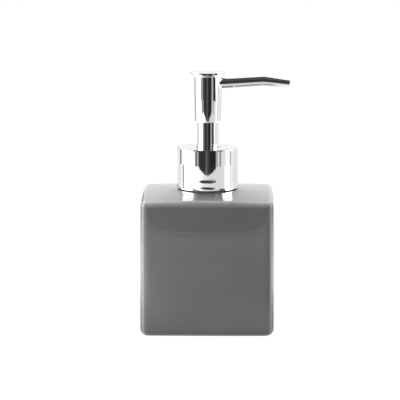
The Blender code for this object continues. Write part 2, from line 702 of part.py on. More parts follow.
def build_piston_seal(material, group):
    """Soft ring with a thin lip up and a thin lip down against the bore."""
    inner_radius = PISTON_CORE_RADIUS + SEAT_GAP
    lip_inner = PISTON_LIP_RADIUS - PISTON_LIP_THICKNESS
    lip_root = PISTON_SEAL_WAIST_RADIUS - PISTON_LIP_THICKNESS
    bottom = PISTON_SEAL_Z
    top = PISTON_SEAL_TOP_Z
    corners = [
        (PISTON_LIP_RADIUS, top),
        (PISTON_SEAL_WAIST_RADIUS, top - PISTON_LIP_HEIGHT),
        (PISTON_SEAL_WAIST_RADIUS, bottom + PISTON_LIP_HEIGHT),
        (PISTON_LIP_RADIUS, bottom),
        (lip_inner, bottom),
        (lip_root, bottom + PISTON_LIP_HEIGHT / 2),
        (lip_root, bottom),
        (inner_radius, bottom),
        (inner_radius, top),
        (lip_root, top),
        (lip_root, top - PISTON_LIP_HEIGHT / 2),
        (lip_inner, top),
    ]
    turned("piston_seal", corners, material, group)


def build_stem(material, group):
    """Hollow stem: a foot on the piston, room for the outlet ball, and two collars in the sleeve."""
    foot_top = STEM_Z + STEM_COLLAR_THICKNESS
    ball_room_top = STEM_Z + STEM_BALL_ROOM
    narrowing = STEM_BORE_RADIUS - STEM_FLOW_RADIUS
    lower_collar_top = SLEEVE_Z + STEM_COLLAR_THICKNESS
    upper_collar = SLEEVE_TOP_Z - STEM_COLLAR_THICKNESS
    corners = [
        (STEM_RADIUS, STEM_TOP_Z),
        (STEM_RADIUS, SLEEVE_TOP_Z),
        (STEM_COLLAR_RADIUS, SLEEVE_TOP_Z),
        (STEM_COLLAR_RADIUS, upper_collar),
        (STEM_RADIUS, upper_collar),
        (STEM_RADIUS, lower_collar_top),
        (STEM_COLLAR_RADIUS, lower_collar_top),
        (STEM_COLLAR_RADIUS, SLEEVE_Z),
        (STEM_RADIUS, SLEEVE_Z),
        (STEM_RADIUS, foot_top),
        (STEM_FOOT_RADIUS, foot_top),
        (STEM_FOOT_RADIUS, STEM_Z),
        (STEM_BORE_RADIUS, STEM_Z),
        (STEM_BORE_RADIUS, ball_room_top),
        (STEM_FLOW_RADIUS, ball_room_top + narrowing),
        (STEM_FLOW_RADIUS, STEM_TOP_Z),
    ]
    turned("stem", corners, material, group, steps=SMALL_STEPS)


def build_stem_sleeve(material, group):
    """Chromed tube round the stem, from inside the collar to inside the head."""
    corners = [
        (SLEEVE_RADIUS, SLEEVE_TOP_Z),
        (SLEEVE_RADIUS, SLEEVE_Z),
        (SLEEVE_BORE_RADIUS, SLEEVE_Z),
        (SLEEVE_BORE_RADIUS, SLEEVE_TOP_Z),
    ]
    turned("stem_sleeve", corners, material, group, steps=SHOWN_STEPS)


def build_head_shell(material, group):
    """Chromed barrel: a short taper to its foot, an in-turned lip, and a flare under the cap."""
    taper_top = HEAD_Z + HEAD_TAPER_HEIGHT
    flare_z = HEAD_SHELL_TOP_Z - HEAD_FLARE_HEIGHT
    lip_top = HEAD_Z + HEAD_WALL
    foot_inner = HEAD_FOOT_RADIUS - HEAD_WALL
    flare_waist_z = flare_z + HEAD_FLARE_HEIGHT * HEAD_FLARE_WAIST_SHARE
    corners = [
        (HEAD_FLARE_RADIUS, HEAD_SHELL_TOP_Z),
        (HEAD_RADIUS, flare_waist_z, HEAD_FLARE_HEIGHT),
        (HEAD_RADIUS, taper_top),
        (HEAD_FOOT_RADIUS, HEAD_Z, HEAD_FOOT_FILLET),
        (HEAD_LIP_RADIUS, HEAD_Z),
        (HEAD_LIP_RADIUS, lip_top),
        (foot_inner, lip_top + HEAD_WALL),
        (HEAD_BORE_RADIUS, taper_top),
        (HEAD_BORE_RADIUS, HEAD_SHELL_TOP_Z),
    ]
    shell = turned("head_shell", corners, material, group, steps=SHOWN_STEPS)
    hole_radius = SPOUT_ROOT_RADIUS + SEAT_GAP
    outside = HEAD_RADIUS + CUT_OVERRUN
    start = HEAD_BORE_RADIUS - CUT_OVERRUN
    cut(shell, sideways_cutter("spout_hole", hole_radius, start, outside, SPOUT_Z))


def build_head_insert(material, group):
    """Plastic elbow: a socket for the stem, a riser, and a side socket for the spout's tail."""
    top = HEAD_SHELL_TOP_Z - HEAD_FLARE_HEIGHT - SEAT_GAP
    stem_stop = HEAD_INSERT_Z + STEM_SOCKET_DEPTH
    riser_top = SPOUT_Z + STEM_FLOW_RADIUS
    socket_radius = STEM_RADIUS + SEAT_GAP
    corners = [
        (0, top),
        (HEAD_INSERT_RADIUS, top),
        (HEAD_INSERT_RADIUS, HEAD_INSERT_Z),
        (socket_radius, HEAD_INSERT_Z),
        (socket_radius, stem_stop),
        (STEM_FLOW_RADIUS, stem_stop),
        (STEM_FLOW_RADIUS, riser_top),
        (0, riser_top),
    ]
    insert = turned("head_insert", corners, material, group, closed=False)
    tail_stop = SPOUT_TAIL_X - SEAT_GAP
    outside = HEAD_INSERT_RADIUS + CUT_OVERRUN
    spout_socket = SPOUT_ROOT_RADIUS + SEAT_GAP
    port = sideways_cutter("insert_port", SPOUT_BORE_RADIUS, 0, outside, SPOUT_Z)
    cut(insert, port)
    cut(insert, sideways_cutter("insert_socket", spout_socket, tail_stop, outside, SPOUT_Z))


def build_head_cap(material, group):
    """Chromed disc with a slightly crowned top, a soft edge and a boss in the shell."""
    boss_z = HEAD_SHELL_TOP_Z - HEAD_FLARE_HEIGHT
    rim_top = CAP_Z + CAP_RIM_THICKNESS
    corners = [
        (0, rim_top + CAP_CROWN),
        (CAP_RADIUS * CAP_SHOULDER_SHARE, rim_top, CAP_RADIUS),
        (CAP_RADIUS, rim_top - CAP_CROWN, CAP_EDGE_RADIUS),
        (CAP_RADIUS, CAP_Z),
        (CAP_BOSS_RADIUS, CAP_Z),
        (CAP_BOSS_RADIUS, boss_z),
        (0, boss_z),
    ]
    turned("head_cap", corners, material, group, steps=SHOWN_STEPS, closed=False)


def spout_route():
    """Centre line of the spout and its radius at each point, from its tail in the head to its tip."""
    root = Vector((HEAD_RADIUS, 0, SPOUT_Z))
    bend = Vector((SPOUT_BEND_X, 0, SPOUT_Z + SPOUT_BEND_RISE))
    tip = Vector((SPOUT_REACH, 0, SPOUT_Z - SPOUT_TIP_DROP))
    rising = (bend - root).normalized()
    falling = (tip - bend).normalized()
    turn = rising.angle(falling)
    reach = SPOUT_BEND_RADIUS * math.tan(turn / 2)
    up = Vector((-rising.z, 0, rising.x))
    arc_start = bend - rising * reach
    centre = arc_start - up * SPOUT_BEND_RADIUS
    arc = []
    for step in range(SPOUT_BEND_STEPS + 1):
        angle = turn * step / SPOUT_BEND_STEPS
        spoke = up * math.cos(angle) + rising * math.sin(angle)
        arc.append(centre + spoke * SPOUT_BEND_RADIUS)
    tail = Vector((SPOUT_TAIL_X, 0, SPOUT_Z))
    middle = root.lerp(bend, 1 / 2)
    points = [tail, root, middle, *arc, tip]
    middle_radius = (SPOUT_ROOT_RADIUS + SPOUT_BEND_SECTION_RADIUS) / 2
    bends = [SPOUT_BEND_SECTION_RADIUS] * len(arc)
    radii = [SPOUT_ROOT_RADIUS, SPOUT_ROOT_RADIUS, middle_radius, *bends, SPOUT_TIP_RADIUS]
    return points, radii


def spout_fairing():
    """Short trumpet at the spout's root, saddled to the barrel it springs from."""
    points = [Vector((0, 0, SPOUT_Z))]
    radii = [SPOUT_FAIRING_RADIUS]
    spread = SPOUT_FAIRING_RADIUS - SPOUT_ROOT_RADIUS
    for step in range(SPOUT_FAIRING_STEPS + 1):
        share = step / SPOUT_FAIRING_STEPS
        fall = 1 - math.sqrt(1 - (1 - share) ** 2)
        points.append(Vector((HEAD_RADIUS + SPOUT_FAIRING_LENGTH * share, 0, SPOUT_Z)))
        radii.append(SPOUT_ROOT_RADIUS - WELD + spread * fall)
    shares = [radius / SPOUT_FAIRING_RADIUS for radius in radii]
    curve = tube_curve("spout_fairing", points, SPOUT_FAIRING_RADIUS, shares, resolution=6)
    fairing = add_cutter("spout_fairing", mesh_from_curve(curve))
    seat_radius = HEAD_RADIUS + SEAT_GAP
    low = SPOUT_Z - HEAD_RADIUS
    high = SPOUT_Z + HEAD_RADIUS
    cut(fairing, upright_cutter("fairing_saddle", seat_radius, low, high, steps=SHOWN_STEPS))
    return fairing


def build_spout(material, group):
    """Slim tapered tube with a fairing at its root and a flow bore."""
    points, radii = spout_route()
    shares = [radius / SPOUT_ROOT_RADIUS for radius in radii]
    outer = mesh_from_curve(tube_curve("spout", points, SPOUT_ROOT_RADIUS, shares, resolution=6))
    spout = add_piece("spout", outer, material, group)
    combine(spout, spout_fairing(), "UNION")
    first = points[0] - (points[1] - points[0]).normalized() * CUT_OVERRUN
    last = points[-1] + (points[-1] - points[-2]).normalized() * CUT_OVERRUN
    bore_points = [first, *points[1:-1], last]
    bore_shares = [1] * len(bore_points)
    bore_curve = tube_curve("spout_bore", bore_points, SPOUT_BORE_RADIUS, bore_shares, resolution=3)
    cut(spout, add_cutter("spout_bore", mesh_from_curve(bore_curve)))


def settle(piece):
    """Apply a piece's modifiers, shade it smooth and keep its real edges sharp."""
    if piece.type != "MESH":
        return
    evaluated = piece.evaluated_get(bpy.context.evaluated_depsgraph_get())
    mesh = bpy.data.meshes.new_from_object(evaluated)
    piece.modifiers.clear()
    piece.data = mesh
    mesh.shade_smooth()
    mesh.set_sharp_from_angle(angle=SHARP_ANGLE)


def main():
    for old in list(bpy.data.objects):
        bpy.data.objects.remove(old)
    parts = add_collection(PARTS)
    add_collection(CUTTERS)

    glaze = add_material("grey_glaze", (0.15, 0.155, 0.152), 0.12)
    chrome = add_material("chrome", (0.86, 0.86, 0.86), 0.06, metallic=1.0)
    natural = add_material("natural_plastic", (0.82, 0.82, 0.80), 0.35, transmission=0.4)
    white = add_material("white_plastic", (0.85, 0.85, 0.84), 0.4)
    seal = add_material("soft_seal", (0.72, 0.72, 0.70), 0.6)
    steel = add_material("steel", (0.62, 0.62, 0.63), 0.25, metallic=1.0)

    bottle = add_group("bottle_group")
    pump = add_group("pump_group")
    collar = add_group("collar_group")
    plunger = add_group("plunger_group")
    head = add_group("head_group")

    build_bottle(glaze, bottle)
    build_mouth_seal(seal, bottle)
    build_neck_insert(white, bottle)
    build_neck_gasket(seal, pump)
    build_guide_ring(white, pump)
    build_pump_housing(natural, pump)
    build_ball_retainer(natural, pump)
    build_dip_tube(natural, pump)
    build_return_spring(steel, pump)
    inlet_height = seated_ball_height(VALVE_SEAT_Z, VALVE_THROAT_RADIUS, INLET_BALL_RADIUS)
    add_ball("inlet_ball", INLET_BALL_RADIUS, inlet_height, steel, pump)
    build_closure(white, collar)
    build_collar_shell(chrome, collar)
    build_piston_core(white, plunger)
    build_piston_seal(seal, plunger)
    outlet_height = seated_ball_height(OUTLET_SEAT_Z, PISTON_PORT_RADIUS, OUTLET_BALL_RADIUS)
    add_ball("outlet_ball", OUTLET_BALL_RADIUS, outlet_height, steel, plunger)
    build_stem(natural, head)
    build_stem_sleeve(chrome, head)
    build_head_insert(white, head)
    build_head_shell(chrome, head)
    build_head_cap(chrome, head)
    build_spout(chrome, head)

    bpy.context.view_layer.update()
    for piece in list(parts.objects):
        settle(piece)


main()
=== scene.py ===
"""Looks of the soap dispenser: glazed block, chromed collar, head and spout, and the pump inside.

Lengths are in metres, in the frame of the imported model: the pump's axis is the Z axis, the spout
points along +X and the front faces -Y.
"""

import json
import math

import bmesh
import bpy
from mathutils import Matrix, Vector

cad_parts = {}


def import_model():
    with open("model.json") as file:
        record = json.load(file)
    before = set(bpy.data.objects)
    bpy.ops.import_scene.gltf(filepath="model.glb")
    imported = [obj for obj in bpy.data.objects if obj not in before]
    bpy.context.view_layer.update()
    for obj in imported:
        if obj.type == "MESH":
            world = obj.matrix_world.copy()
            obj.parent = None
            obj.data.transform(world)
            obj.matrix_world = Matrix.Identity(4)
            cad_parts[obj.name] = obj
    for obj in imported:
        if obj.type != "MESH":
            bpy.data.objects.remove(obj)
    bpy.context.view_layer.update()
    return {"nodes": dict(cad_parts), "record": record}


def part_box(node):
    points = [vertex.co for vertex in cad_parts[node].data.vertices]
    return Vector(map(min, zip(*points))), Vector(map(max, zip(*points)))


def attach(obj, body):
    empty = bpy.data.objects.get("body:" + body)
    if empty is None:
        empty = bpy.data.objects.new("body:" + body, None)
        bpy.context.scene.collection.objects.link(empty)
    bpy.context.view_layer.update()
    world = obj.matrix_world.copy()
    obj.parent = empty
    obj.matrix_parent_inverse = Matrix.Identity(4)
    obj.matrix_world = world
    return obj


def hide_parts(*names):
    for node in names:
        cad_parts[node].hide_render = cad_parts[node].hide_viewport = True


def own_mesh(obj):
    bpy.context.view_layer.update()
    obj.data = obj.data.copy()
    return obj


MM = 0.001

# Camera, fitted to the photograph's outlines
CAMERA_PLACE = Vector((0.0164, -1.4797, 0.2995))
CAMERA_AIM = Vector((-0.0043, 0.0, 0.0710))
CAMERA_LENS_MM = 239.5
CAMERA_SENSOR_MM = 36.0
CAMERA_CLIP_START = 0.01

# White table: how far it reaches by azimuth in degrees, its colour, and how white the camera sees it
TABLE_DROP = 0.2 * MM
TABLE_OUTLINE = [
    (0, 0.619), (10, 0.625), (20, 0.640), (31.8, 0.659), (33.4, 0.775), (72, 0.775), (80, 1.5),
    (180, 1.5),
]
TABLE_STEP_DEGREES = 1
TABLE_COLOUR = (0.4, 0.4, 0.395, 1)
TABLE_SHOWN_LEVEL = 1.07
TABLE_SHOWN_SHARE = 0.93
# Brightness at which the table glows to the rays that the metal and the glaze mirror, painting
# reflections into them, by azimuth in degrees: up to the far distance, past it, and close to the block
NEAR_TABLE_GLOW = [
    (-180, 0.95), (-166, 0.9), (-135, 0.82), (-125, 0.80), (-118, 1.0), (-108, 1.0), (-106, 0.1),
    (-101.5, 0.1), (-99, 2.4), (-62, 2.4), (-55, 1.05), (-48, 1.6), (-35, 1.15), (-12, 0.88),
    (5, 0.80), (20, 0.72), (34, 0.72), (66, 0.76), (72, 1.6), (92, 1.6), (95, 0.78), (99, 0.78),
    (102, 0.95), (112, 0.84), (135, 0.77), (150, 0.85), (166, 0.92), (180, 0.95),
]
FAR_TABLE_GLOW = [
    (-180, 0.95), (-166, 0.9), (-128, 0.85), (-125.5, 0.05), (-118.5, 0.05), (-116, 1.1),
    (-49.2, 1.1), (-47, 0.45), (-44.6, 0.08), (-42.6, 0.08), (-40, 0.33), (-35.5, 0.55),
    (-33.5, 0.1), (33.5, 0.45), (37, 0.3), (40, 0.7), (45.5, 0.75), (47, 0.13), (49.5, 0.13),
    (54, 0.8), (63, 0.8), (66, 0.6), (70, 1.0), (92, 1.1), (94.5, 0.4), (98.5, 0.4), (101, 0.95),
    (135, 0.77), (166, 0.92), (180, 0.95),
]
FAR_DISTANCE = 0.668
FAR_SOFTNESS = 0.004
CLOSE_TABLE_GLOW = [
    (-180, 0.45), (-162, 0.5), (-150, 2.4), (-105, 3.4), (-75, 3.2), (-55, 2.2), (-35, 2.2),
    (-20, 1.6), (-10, 0.9), (0, 0.65), (9, 0.6), (18, 0.55), (60, 0.5), (72, 1.0), (85, 3.2),
    (150, 2.8), (162, 0.5), (180, 0.45),
]
CLOSE_DISTANCE = 0.25
CLOSE_END = 0.58
# Even white glow right beside the block, a painted reflection that only the metal and the glaze mirror
NEAREST_DISTANCE = 0.08
NEAREST_END = 0.19
NEAREST_LEVEL = 1.0
# Painted shade lines across the front of the table, dark only where the metal and the glaze mirror it:
# distance, half width and half angle in degrees
PAINTED_SHADE_LINES = [(0.5865, 0.0088, 33.2), (0.552, 0.0065, 29.0)]
MARK_MIDDLE_DEGREES = 1.2
MARK_POWER = 4.0
MARK_SOFTNESS = 0.0008
SHADE_LINE_LEVEL = 0.03

# Brightness of the room by azimuth in degrees: what the upright metal mirrors beyond the table
ROOM_BANDS = [
    (-180, 0.95), (-173, 0.95), (-170, 0.22), (-152, 0.22), (-147, 0.9), (-138, 0.95),
    (-134, 0.1), (-126, 0.1), (-122, 0.95), (-106, 7.5), (-64, 7.5), (-58.5, 0.36), (-42, 0.35),
    (-37, 0.13), (-31, 0.04), (-15, 0.03), (-12.5, 0.04), (-7.5, 0.05), (-4, 0.16), (0.5, 0.055),
    (15, 0.015), (31.2, 0.025), (33.2, 0.46), (42, 0.46), (48, 0.1), (51, 0.03), (70, 0.04),
    (77.5, 7.5), (108, 7.5), (112, 0.85), (170, 0.95), (180, 0.95),
]
# Brightness overhead, by the sideways part of the direction
OVERHEAD_BANDS = [
    (-1.0, 3.2), (-0.80, 3.2), (-0.74, 0.36), (-0.62, 0.3), (-0.56, 0.03), (0.42, 0.03),
    (0.46, 0.3), (0.6, 0.3), (0.64, 0.03), (0.78, 0.03), (0.84, 3.2), (1.0, 3.2),
]
BRIGHTEST = 8.0
# Angles, in degrees from the front, between which a dim strip overhead fades in and out
STRIP_FADE_IN = (40.0, 60.0)
STRIP_FADE_OUT = (120.0, 100.0)
STRIP_LEVEL = 0.05
# Angles, counted in the same way, between which a plain back wall fades in
BACK_WALL_TOP = (133.0, 141.0)
BACK_WALL_LEVEL = 0.92
# Elevations in degrees between which the room gives way to what is overhead
ELEVATIONS = (11.0, 17.0)
# Even light on everything that isn't a mirror
DOME_LEVEL = 0.62

# Lamps: name, place, aim, size and power
LAMPS = [
    ("key", (-0.3, -0.2, 0.2), (0, 0, 0.05), 0.3, 0.9),
    ("fill", (1.0, -0.9, 0.7), (0, 0, 0.06), 0.9, 0.3),
    ("top", (0, 0.15, 0.6), (0, 0, 0.07), 0.22, 7.5),
]

# Finishes: colours and ranges of roughness
CHROME_COLOUR = (0.93, 0.93, 0.93, 1)
CHROME_ROUGHNESS = (0.008, 0.03)
GLAZE_DARK = (0.114, 0.119, 0.116, 1)
GLAZE_LIGHT = (0.122, 0.127, 0.124, 1)
GLAZE_ROUGHNESS = (0.014, 0.03)
GLAZE_INDEX = 1.55
# Pale clay colour that the thinly glazed edges and their painted highlights take
CLAY_AND_HIGHLIGHT_COLOUR = (0.60, 0.60, 0.57, 1)
BARE_CLAY_DARK = (0.62, 0.58, 0.51, 1)
BARE_CLAY_LIGHT = (0.71, 0.67, 0.6, 1)
BARE_CLAY_ROUGHNESS = 0.85
STEEL_COLOUR = (0.62, 0.62, 0.63, 1)
STEEL_ROUGHNESS = (0.2, 0.32)
# Where the glaze runs thinly and where highlights are painted: the mesh's weights, from which of them
# it pales, and how far
THIN_GLAZE_AND_HIGHLIGHT = "thin_glaze_and_highlight"
THIN_GLAZE_START = 0.25
THIN_GLAZE_SHARE = 0.5
THIN_GLAZE_LEVELS = (0.75, 1.0)
# Plastics: colour, roughness and how much light they let through
WHITE_PLASTIC = ((0.85, 0.85, 0.84), 0.4, 0.0)
NATURAL_PLASTIC = ((0.84, 0.85, 0.83), 0.35, 0.25)
SEAL_RUBBER = ((0.72, 0.72, 0.70), 0.6, 0.0)
PLASTIC_INDEX = 1.49
PLASTIC_ROUGHNESS_SPREAD = 0.15
# Noise of the finishes: scale and detail
CHROME_RIPPLE = (90.0, 1.0)
CHROME_HAZE = (260.0, 3.0)
GLAZE_CLOUDS = (45.0, 3.0)
GLAZE_RIPPLE = (60.0, 2.0)
GLAZE_HAZE = (150.0, 2.0)
GLAZE_BREAK_UP = (220.0, 2.0)
CLAY_GRAIN = (700.0, 4.0)
PLASTIC_GRAIN = (1500.0, 2.0)
STEEL_GRAIN = (1200.0, 2.0)
# Parts of the noise's range that are spread over a whole finish
HAZE_RANGE = (0.35, 0.7)
GRAIN_RANGE = (0.3, 0.7)
BREAK_UP_RANGE = (0.25, 0.75)
# Bumps: strength and depth
CHROME_BUMP = (0.015, 0.2 * MM)
GLAZE_BUMP = (0.03, 0.2 * MM)
CLAY_BUMP = (0.3, 0.1 * MM)
PLASTIC_BUMP = (0.08, 0.02 * MM)

# Glazed block
SIDE_EDGE_RADIUS = 5.0 * MM
TOP_EDGE_RADIUS = 2.2 * MM
FOOT_EDGE_RADIUS = 4.0 * MM
BARE_FOOT_HEIGHT = 0.25 * MM
TOP_BASE_Z = 74.49 * MM
TOP_RISE = 3.91 * MM
TOP_FALL = 0.741
FRONT_LEAN = 1.1 * MM
SIDE_LEAN = 0.6 * MM
LEAN_START_Z = 38.0 * MM
LEAN_FADE_POWER = 6
FACE_CROWN = 0.6 * MM
WALL = 4.5 * MM
FLOOR = 6.0 * MM
CEILING = 5.5 * MM
CAVITY_EDGE_RADIUS = 6.0 * MM
CAVITY_CORNER_RADIUS = 4.0 * MM
MOUTH_RADIUS = 13.0 * MM
LAND_RADIUS = 15.7 * MM
LAND_DROP = 1.1 * MM
LIP_RADIUS = 0.4 * MM
# Steps and places of the rings that the block's mesh is made of
BLOCK_SMOOTH_DEGREES = 40.0
FLAT_STEPS = 26
ARC_STEPS = 12
EDGE_STEPS = 10
WALL_STEPS = 36
TOP_STEPS = 22
LAND_LIP_STEPS = 3
MOUTH_LIP_STEPS = 4
CEILING_STEPS = 5
CAVITY_STEPS = 6
BASE_SHARES = (0.02, 0.3, 0.6, 0.85, 0.97)
FLOOR_SHARES = (0.9, 0.5, 0.02)
TOP_RING_DEPTHS_MM = (4.0, 3.0, 2.2, 1.5, 0.9, 0.3)
FOOT_HOLD = 0.3 * MM
TOP_HOLD = 5 * MM
LAND_HOLD = 0.1 * MM
# How pale the edges are painted, from 0 to 1, for glaze that runs thinly over them and for their
# painted highlights, and how far that reaches down from the top
CORNER_THIN_AND_HIGHLIGHT = 0.85
CORNER_THIN_POWER = 4
FOOT_THIN_AND_HIGHLIGHT = 0.6
TOP_THIN_AND_HIGHLIGHT = 0.55
TOP_EDGE_THIN_AND_HIGHLIGHT = 0.6
TOP_THIN_DEPTH = 1.8 * MM

# Threads, spring and inner plastics
PLASTIC_STEPS = 96
SEAT_GAP = 0.3 * MM
THREAD_RADIUS = 13.65 * MM
THREAD_BORE_RADIUS = 13.05 * MM
THREAD_LEAD = 4.23 * MM
THREAD_START_Z = 84.0 * MM
THREAD_BASE_WIDTH = 1.7 * MM
THREAD_CREST_WIDTH = 0.7 * MM
THREAD_STEPS = 90
THREAD_RUN_OUT = 0.08
THREAD_END_SHARE = 0.15
NECK_BORE_RADIUS = 10.5 * MM
NECK_FLANGE_THICKNESS = 1.2 * MM
NECK_EDGE = 0.3 * MM
THREAD_ROOT_SINK = NECK_EDGE / 3
CLOSURE_BORE_RADIUS = 14.0 * MM
CLOSURE_PLATE_THICKNESS = 1.5 * MM
CLOSURE_RIM_HEIGHT = 4.1 * MM
CLOSURE_HOLE_RADIUS = 9.9 * MM
CLOSURE_RIM_RADIUS = 14.6 * MM
HOUSING_FLANGE_THICKNESS = 1.4 * MM
HOUSING_TOP_RADIUS = 8.9 * MM
HOUSING_COUNTERBORE_RADIUS = 8.0 * MM
HOUSING_BORE_RADIUS = 6.8 * MM
HOUSING_WALL = 0.9 * MM
HOUSING_LEDGE_Z = 86.0 * MM
HOUSING_SHOULDER_Z = 52.0 * MM
HOUSING_TAPER_LENGTH = 1.6 * MM
VALVE_CHAMBER_RADIUS = 3.4 * MM
VALVE_CHAMBER_WALL = 1.1 * MM
VALVE_THROAT_RADIUS = 1.8 * MM
VALVE_SEAT_TOP_Z = 47.9 * MM
VALVE_SEAT_Z = 46.3 * MM
TUBE_STOP_Z = 45.3 * MM
TUBE_WALL = 0.75 * MM
TUBE_STEPS = 48
TUBE_TIP_RADII = 4
TUBE_TIP_SLOPE = math.tan(math.radians(35.0))
VENT_RADIUS = 0.5 * MM
VENT_Z = 83.55 * MM
VENT_SIDES = 24
SPRING_COIL_RADIUS = 4.6 * MM
SPRING_WIRE_RADIUS = 0.45 * MM
SPRING_TURNS = 8
SPRING_END_PITCH = 1.5 * MM
SPRING_STEPS_PER_TURN = 40
SPRING_SIDES = 12

# Turned pieces: how smooth they are, and how far from a corner the points lie that keep it crisp
SMOOTH_DEGREES = 35.0
LATHE_STEPS = 160
FILLET_STEPS = 8
HOLD_DISTANCE = 0.12 * MM
SHORTEST_HELD = 4 * HOLD_DISTANCE
ON_AXIS = 1e-7

# Chromed pieces
COLLAR_WALL = 0.7 * MM
COLLAR_SEAT_DROP = 0.4 * MM
COLLAR_PLATE = 0.8 * MM
COLLAR_HOLE_RADIUS = 6.6 * MM
COLLAR_EDGE = 0.6 * MM
COLLAR_FOOT_EDGE = 0.45 * MM
COLLAR_INNER_EDGE = 0.1 * MM
COLLAR_HOLE_EDGE = 0.25 * MM
SLEEVE_WALL = 0.6 * MM
HEAD_RADIUS = 7.8 * MM
HEAD_FOOT_RADIUS = 7.48 * MM
# Slope of the barrel's side by the height above its foot in millimetres
HEAD_DRAFT = [
    (0, 0.0310), (3, 0.0322), (7, 0.0328), (10, 0.0305), (14, 0.026), (16, 0.014), (18, 0.0),
    (21, -0.015), (24, -0.01),
]
HEAD_DRAFT_STEPS = 48
HEAD_FLARE_RADIUS = 8.8 * MM
HEAD_FLARE_LIP = 0.3 * MM
HEAD_FLARE_EDGE = 0.1 * MM
HEAD_NECK = 0.1 * MM
HEAD_SHOULDER_DROP = 1.0 * MM
HEAD_SHOULDER_DEPTH = 0.6 * MM
HEAD_SHOULDER_ROUND_SHARE = 0.9
HEAD_FOOT_FILLET = 0.7 * MM
HEAD_FOOT_ROUND_SHARE = 0.6
HEAD_FOOT_TUCK = 0.03 * MM
HEAD_LIP_RADIUS = 6.45 * MM
HEAD_WALL = 0.7 * MM
# Cap: how much higher it stands than the solid, then its rim, crown and edge
CAP_RAISE = 0.45 * MM
CAP_RIM = 1.3 * MM
CAP_CROWN = 0.15 * MM
CAP_EDGE = 0.12 * MM
# Shares of the cap's radius and of its crown, at two places of its top
CAP_MIDDLE = (0.5, 0.15)
CAP_SHOULDER = (0.85, 0.6)
CAP_SHOULDER_FILLET = 1.0 * MM
CAP_BOSS_RADIUS = 6.6 * MM
SPOUT_Z = 136.88 * MM
SPOUT_BEND_X = 31.5 * MM
SPOUT_BEND_RISE = 1.5 * MM
SPOUT_TIP_DROP = 0.1 * MM
SPOUT_ROOT_RADIUS = 2.7 * MM
SPOUT_BEND_SECTION_RADIUS = 2.58 * MM
SPOUT_TIP_RADIUS = 1.95 * MM
SPOUT_BORE_RADIUS = 1.2 * MM
SPOUT_BEND_RADIUS = 12.0 * MM
SPOUT_FAIRING_RADIUS = 4.4 * MM
SPOUT_FAIRING_LENGTH = 4.0 * MM
SPOUT_BORE_DEPTH = 12.0 * MM
SPOUT_SIDES = 48
SPOUT_RISE_STEPS = 40
SPOUT_BEND_STEPS = 10
SPOUT_FALL_STEPS = 20


def camera():
    """The camera of the photograph."""
    data = bpy.data.cameras.new("camera")
    data.lens = CAMERA_LENS_MM
    data.sensor_width = CAMERA_SENSOR_MM
    data.clip_start = CAMERA_CLIP_START
    view = bpy.data.objects.new("camera", data)
    bpy.context.scene.collection.objects.link(view)
    view.location = CAMERA_PLACE
    view.rotation_euler = (CAMERA_AIM - CAMERA_PLACE).to_track_quat("-Z", "Y").to_euler()
    bpy.context.scene.camera = view


def grey(level):
    return (level, level, level, 1)


class Nodes:
    """Short ways to add and join shader nodes."""

    def __init__(self, tree):
        self.tree = tree
        tree.nodes.clear()

    def add(self, kind, inputs=None, **settings):
        node = self.tree.nodes.new(kind)
        for name, value in settings.items():
            setattr(node, name, value)
        for name, value in (inputs or {}).items():
            socket = node.inputs[name]
            if isinstance(value, bpy.types.NodeSocket):
                self.tree.links.new(value, socket)
            else:
                socket.default_value = value
        return node

    def math(self, operation, first, second=0.0):
        return self.add("ShaderNodeMath", {0: first, 1: second}, operation=operation).outputs[0]

    def blend(self, factor, first, second, blend_type="MIX"):
        """Two colours mixed, or the second added to the first, by a factor."""
        node = self.add("ShaderNodeMix", data_type="RGBA", blend_type=blend_type)
        for index, value in ((0, factor), (6, first), (7, second)):
            if isinstance(value, bpy.types.NodeSocket):
                self.tree.links.new(value, node.inputs[index])
            else:
                node.inputs[index].default_value = value
        return node.outputs[2]

    def scaled(self, colour, factor):
        node = self.add("ShaderNodeVectorMath", operation="SCALE")
        self.tree.links.new(colour, node.inputs[0])
        node.inputs["Scale"].default_value = factor
        return node.outputs[0]

    def place(self):
        """Where a point of the surface is, in the object's own frame."""
        return self.add("ShaderNodeTexCoord").outputs["Object"]

    def noise(self, place, scale, detail):
        node = self.add("ShaderNodeTexNoise", {"Vector": place, "Scale": scale, "Detail": detail})
        return node.outputs["Fac"]

    def bump(self, height, strength, distance):
        inputs = {"Strength": strength, "Distance": distance, "Height": height}
        return self.add("ShaderNodeBump", inputs).outputs[0]

    def mirrored(self):
        """Whether a ray is one that a surface mirrors or lets through."""
        rays = self.add("ShaderNodeLightPath").outputs
        return self.math("MAXIMUM", rays["Is Glossy Ray"], rays["Is Transmission Ray"])

    def seen(self):
        """Whether a ray comes straight from the camera."""
        return self.add("ShaderNodeLightPath").outputs["Is Camera Ray"]

    def span(self, value, low, high, out_low=0.0, out_high=1.0):
        """Map a range of a value to another range, with soft ends."""
        node = self.add(
            "ShaderNodeMapRange",
            {"Value": value, "From Min": low, "From Max": high, "To Min": out_low, "To Max": out_high},
            interpolation_type="SMOOTHSTEP",
        )
        return node.outputs["Result"]

    def ramp(self, value, stops):
        """A grey level for each place along a value from 0 to 1."""
        node = self.add("ShaderNodeValToRGB", {"Fac": value})
        ramp = node.color_ramp
        while len(ramp.elements) > 1:
            ramp.elements.remove(ramp.elements[-1])
        ramp.elements[0].position = stops[0][0]
        ramp.elements[0].color = grey(stops[0][1])
        for place, level in stops[1:]:
            ramp.elements.new(place).color = grey(level)
        return node.outputs["Color"]


def by_azimuth(n, sideways, along, bands):
    """The band's brightness for the azimuth of a direction or place."""
    azimuth = n.math("ARCTAN2", sideways, n.math("MULTIPLY", along, -1.0))
    share = n.math("ADD", n.math("MULTIPLY", azimuth, 0.5 / math.pi), 0.5)
    stops = [(degrees / 360 + 0.5, level / BRIGHTEST) for degrees, level in bands]
    return n.scaled(n.ramp(share, stops), BRIGHTEST)


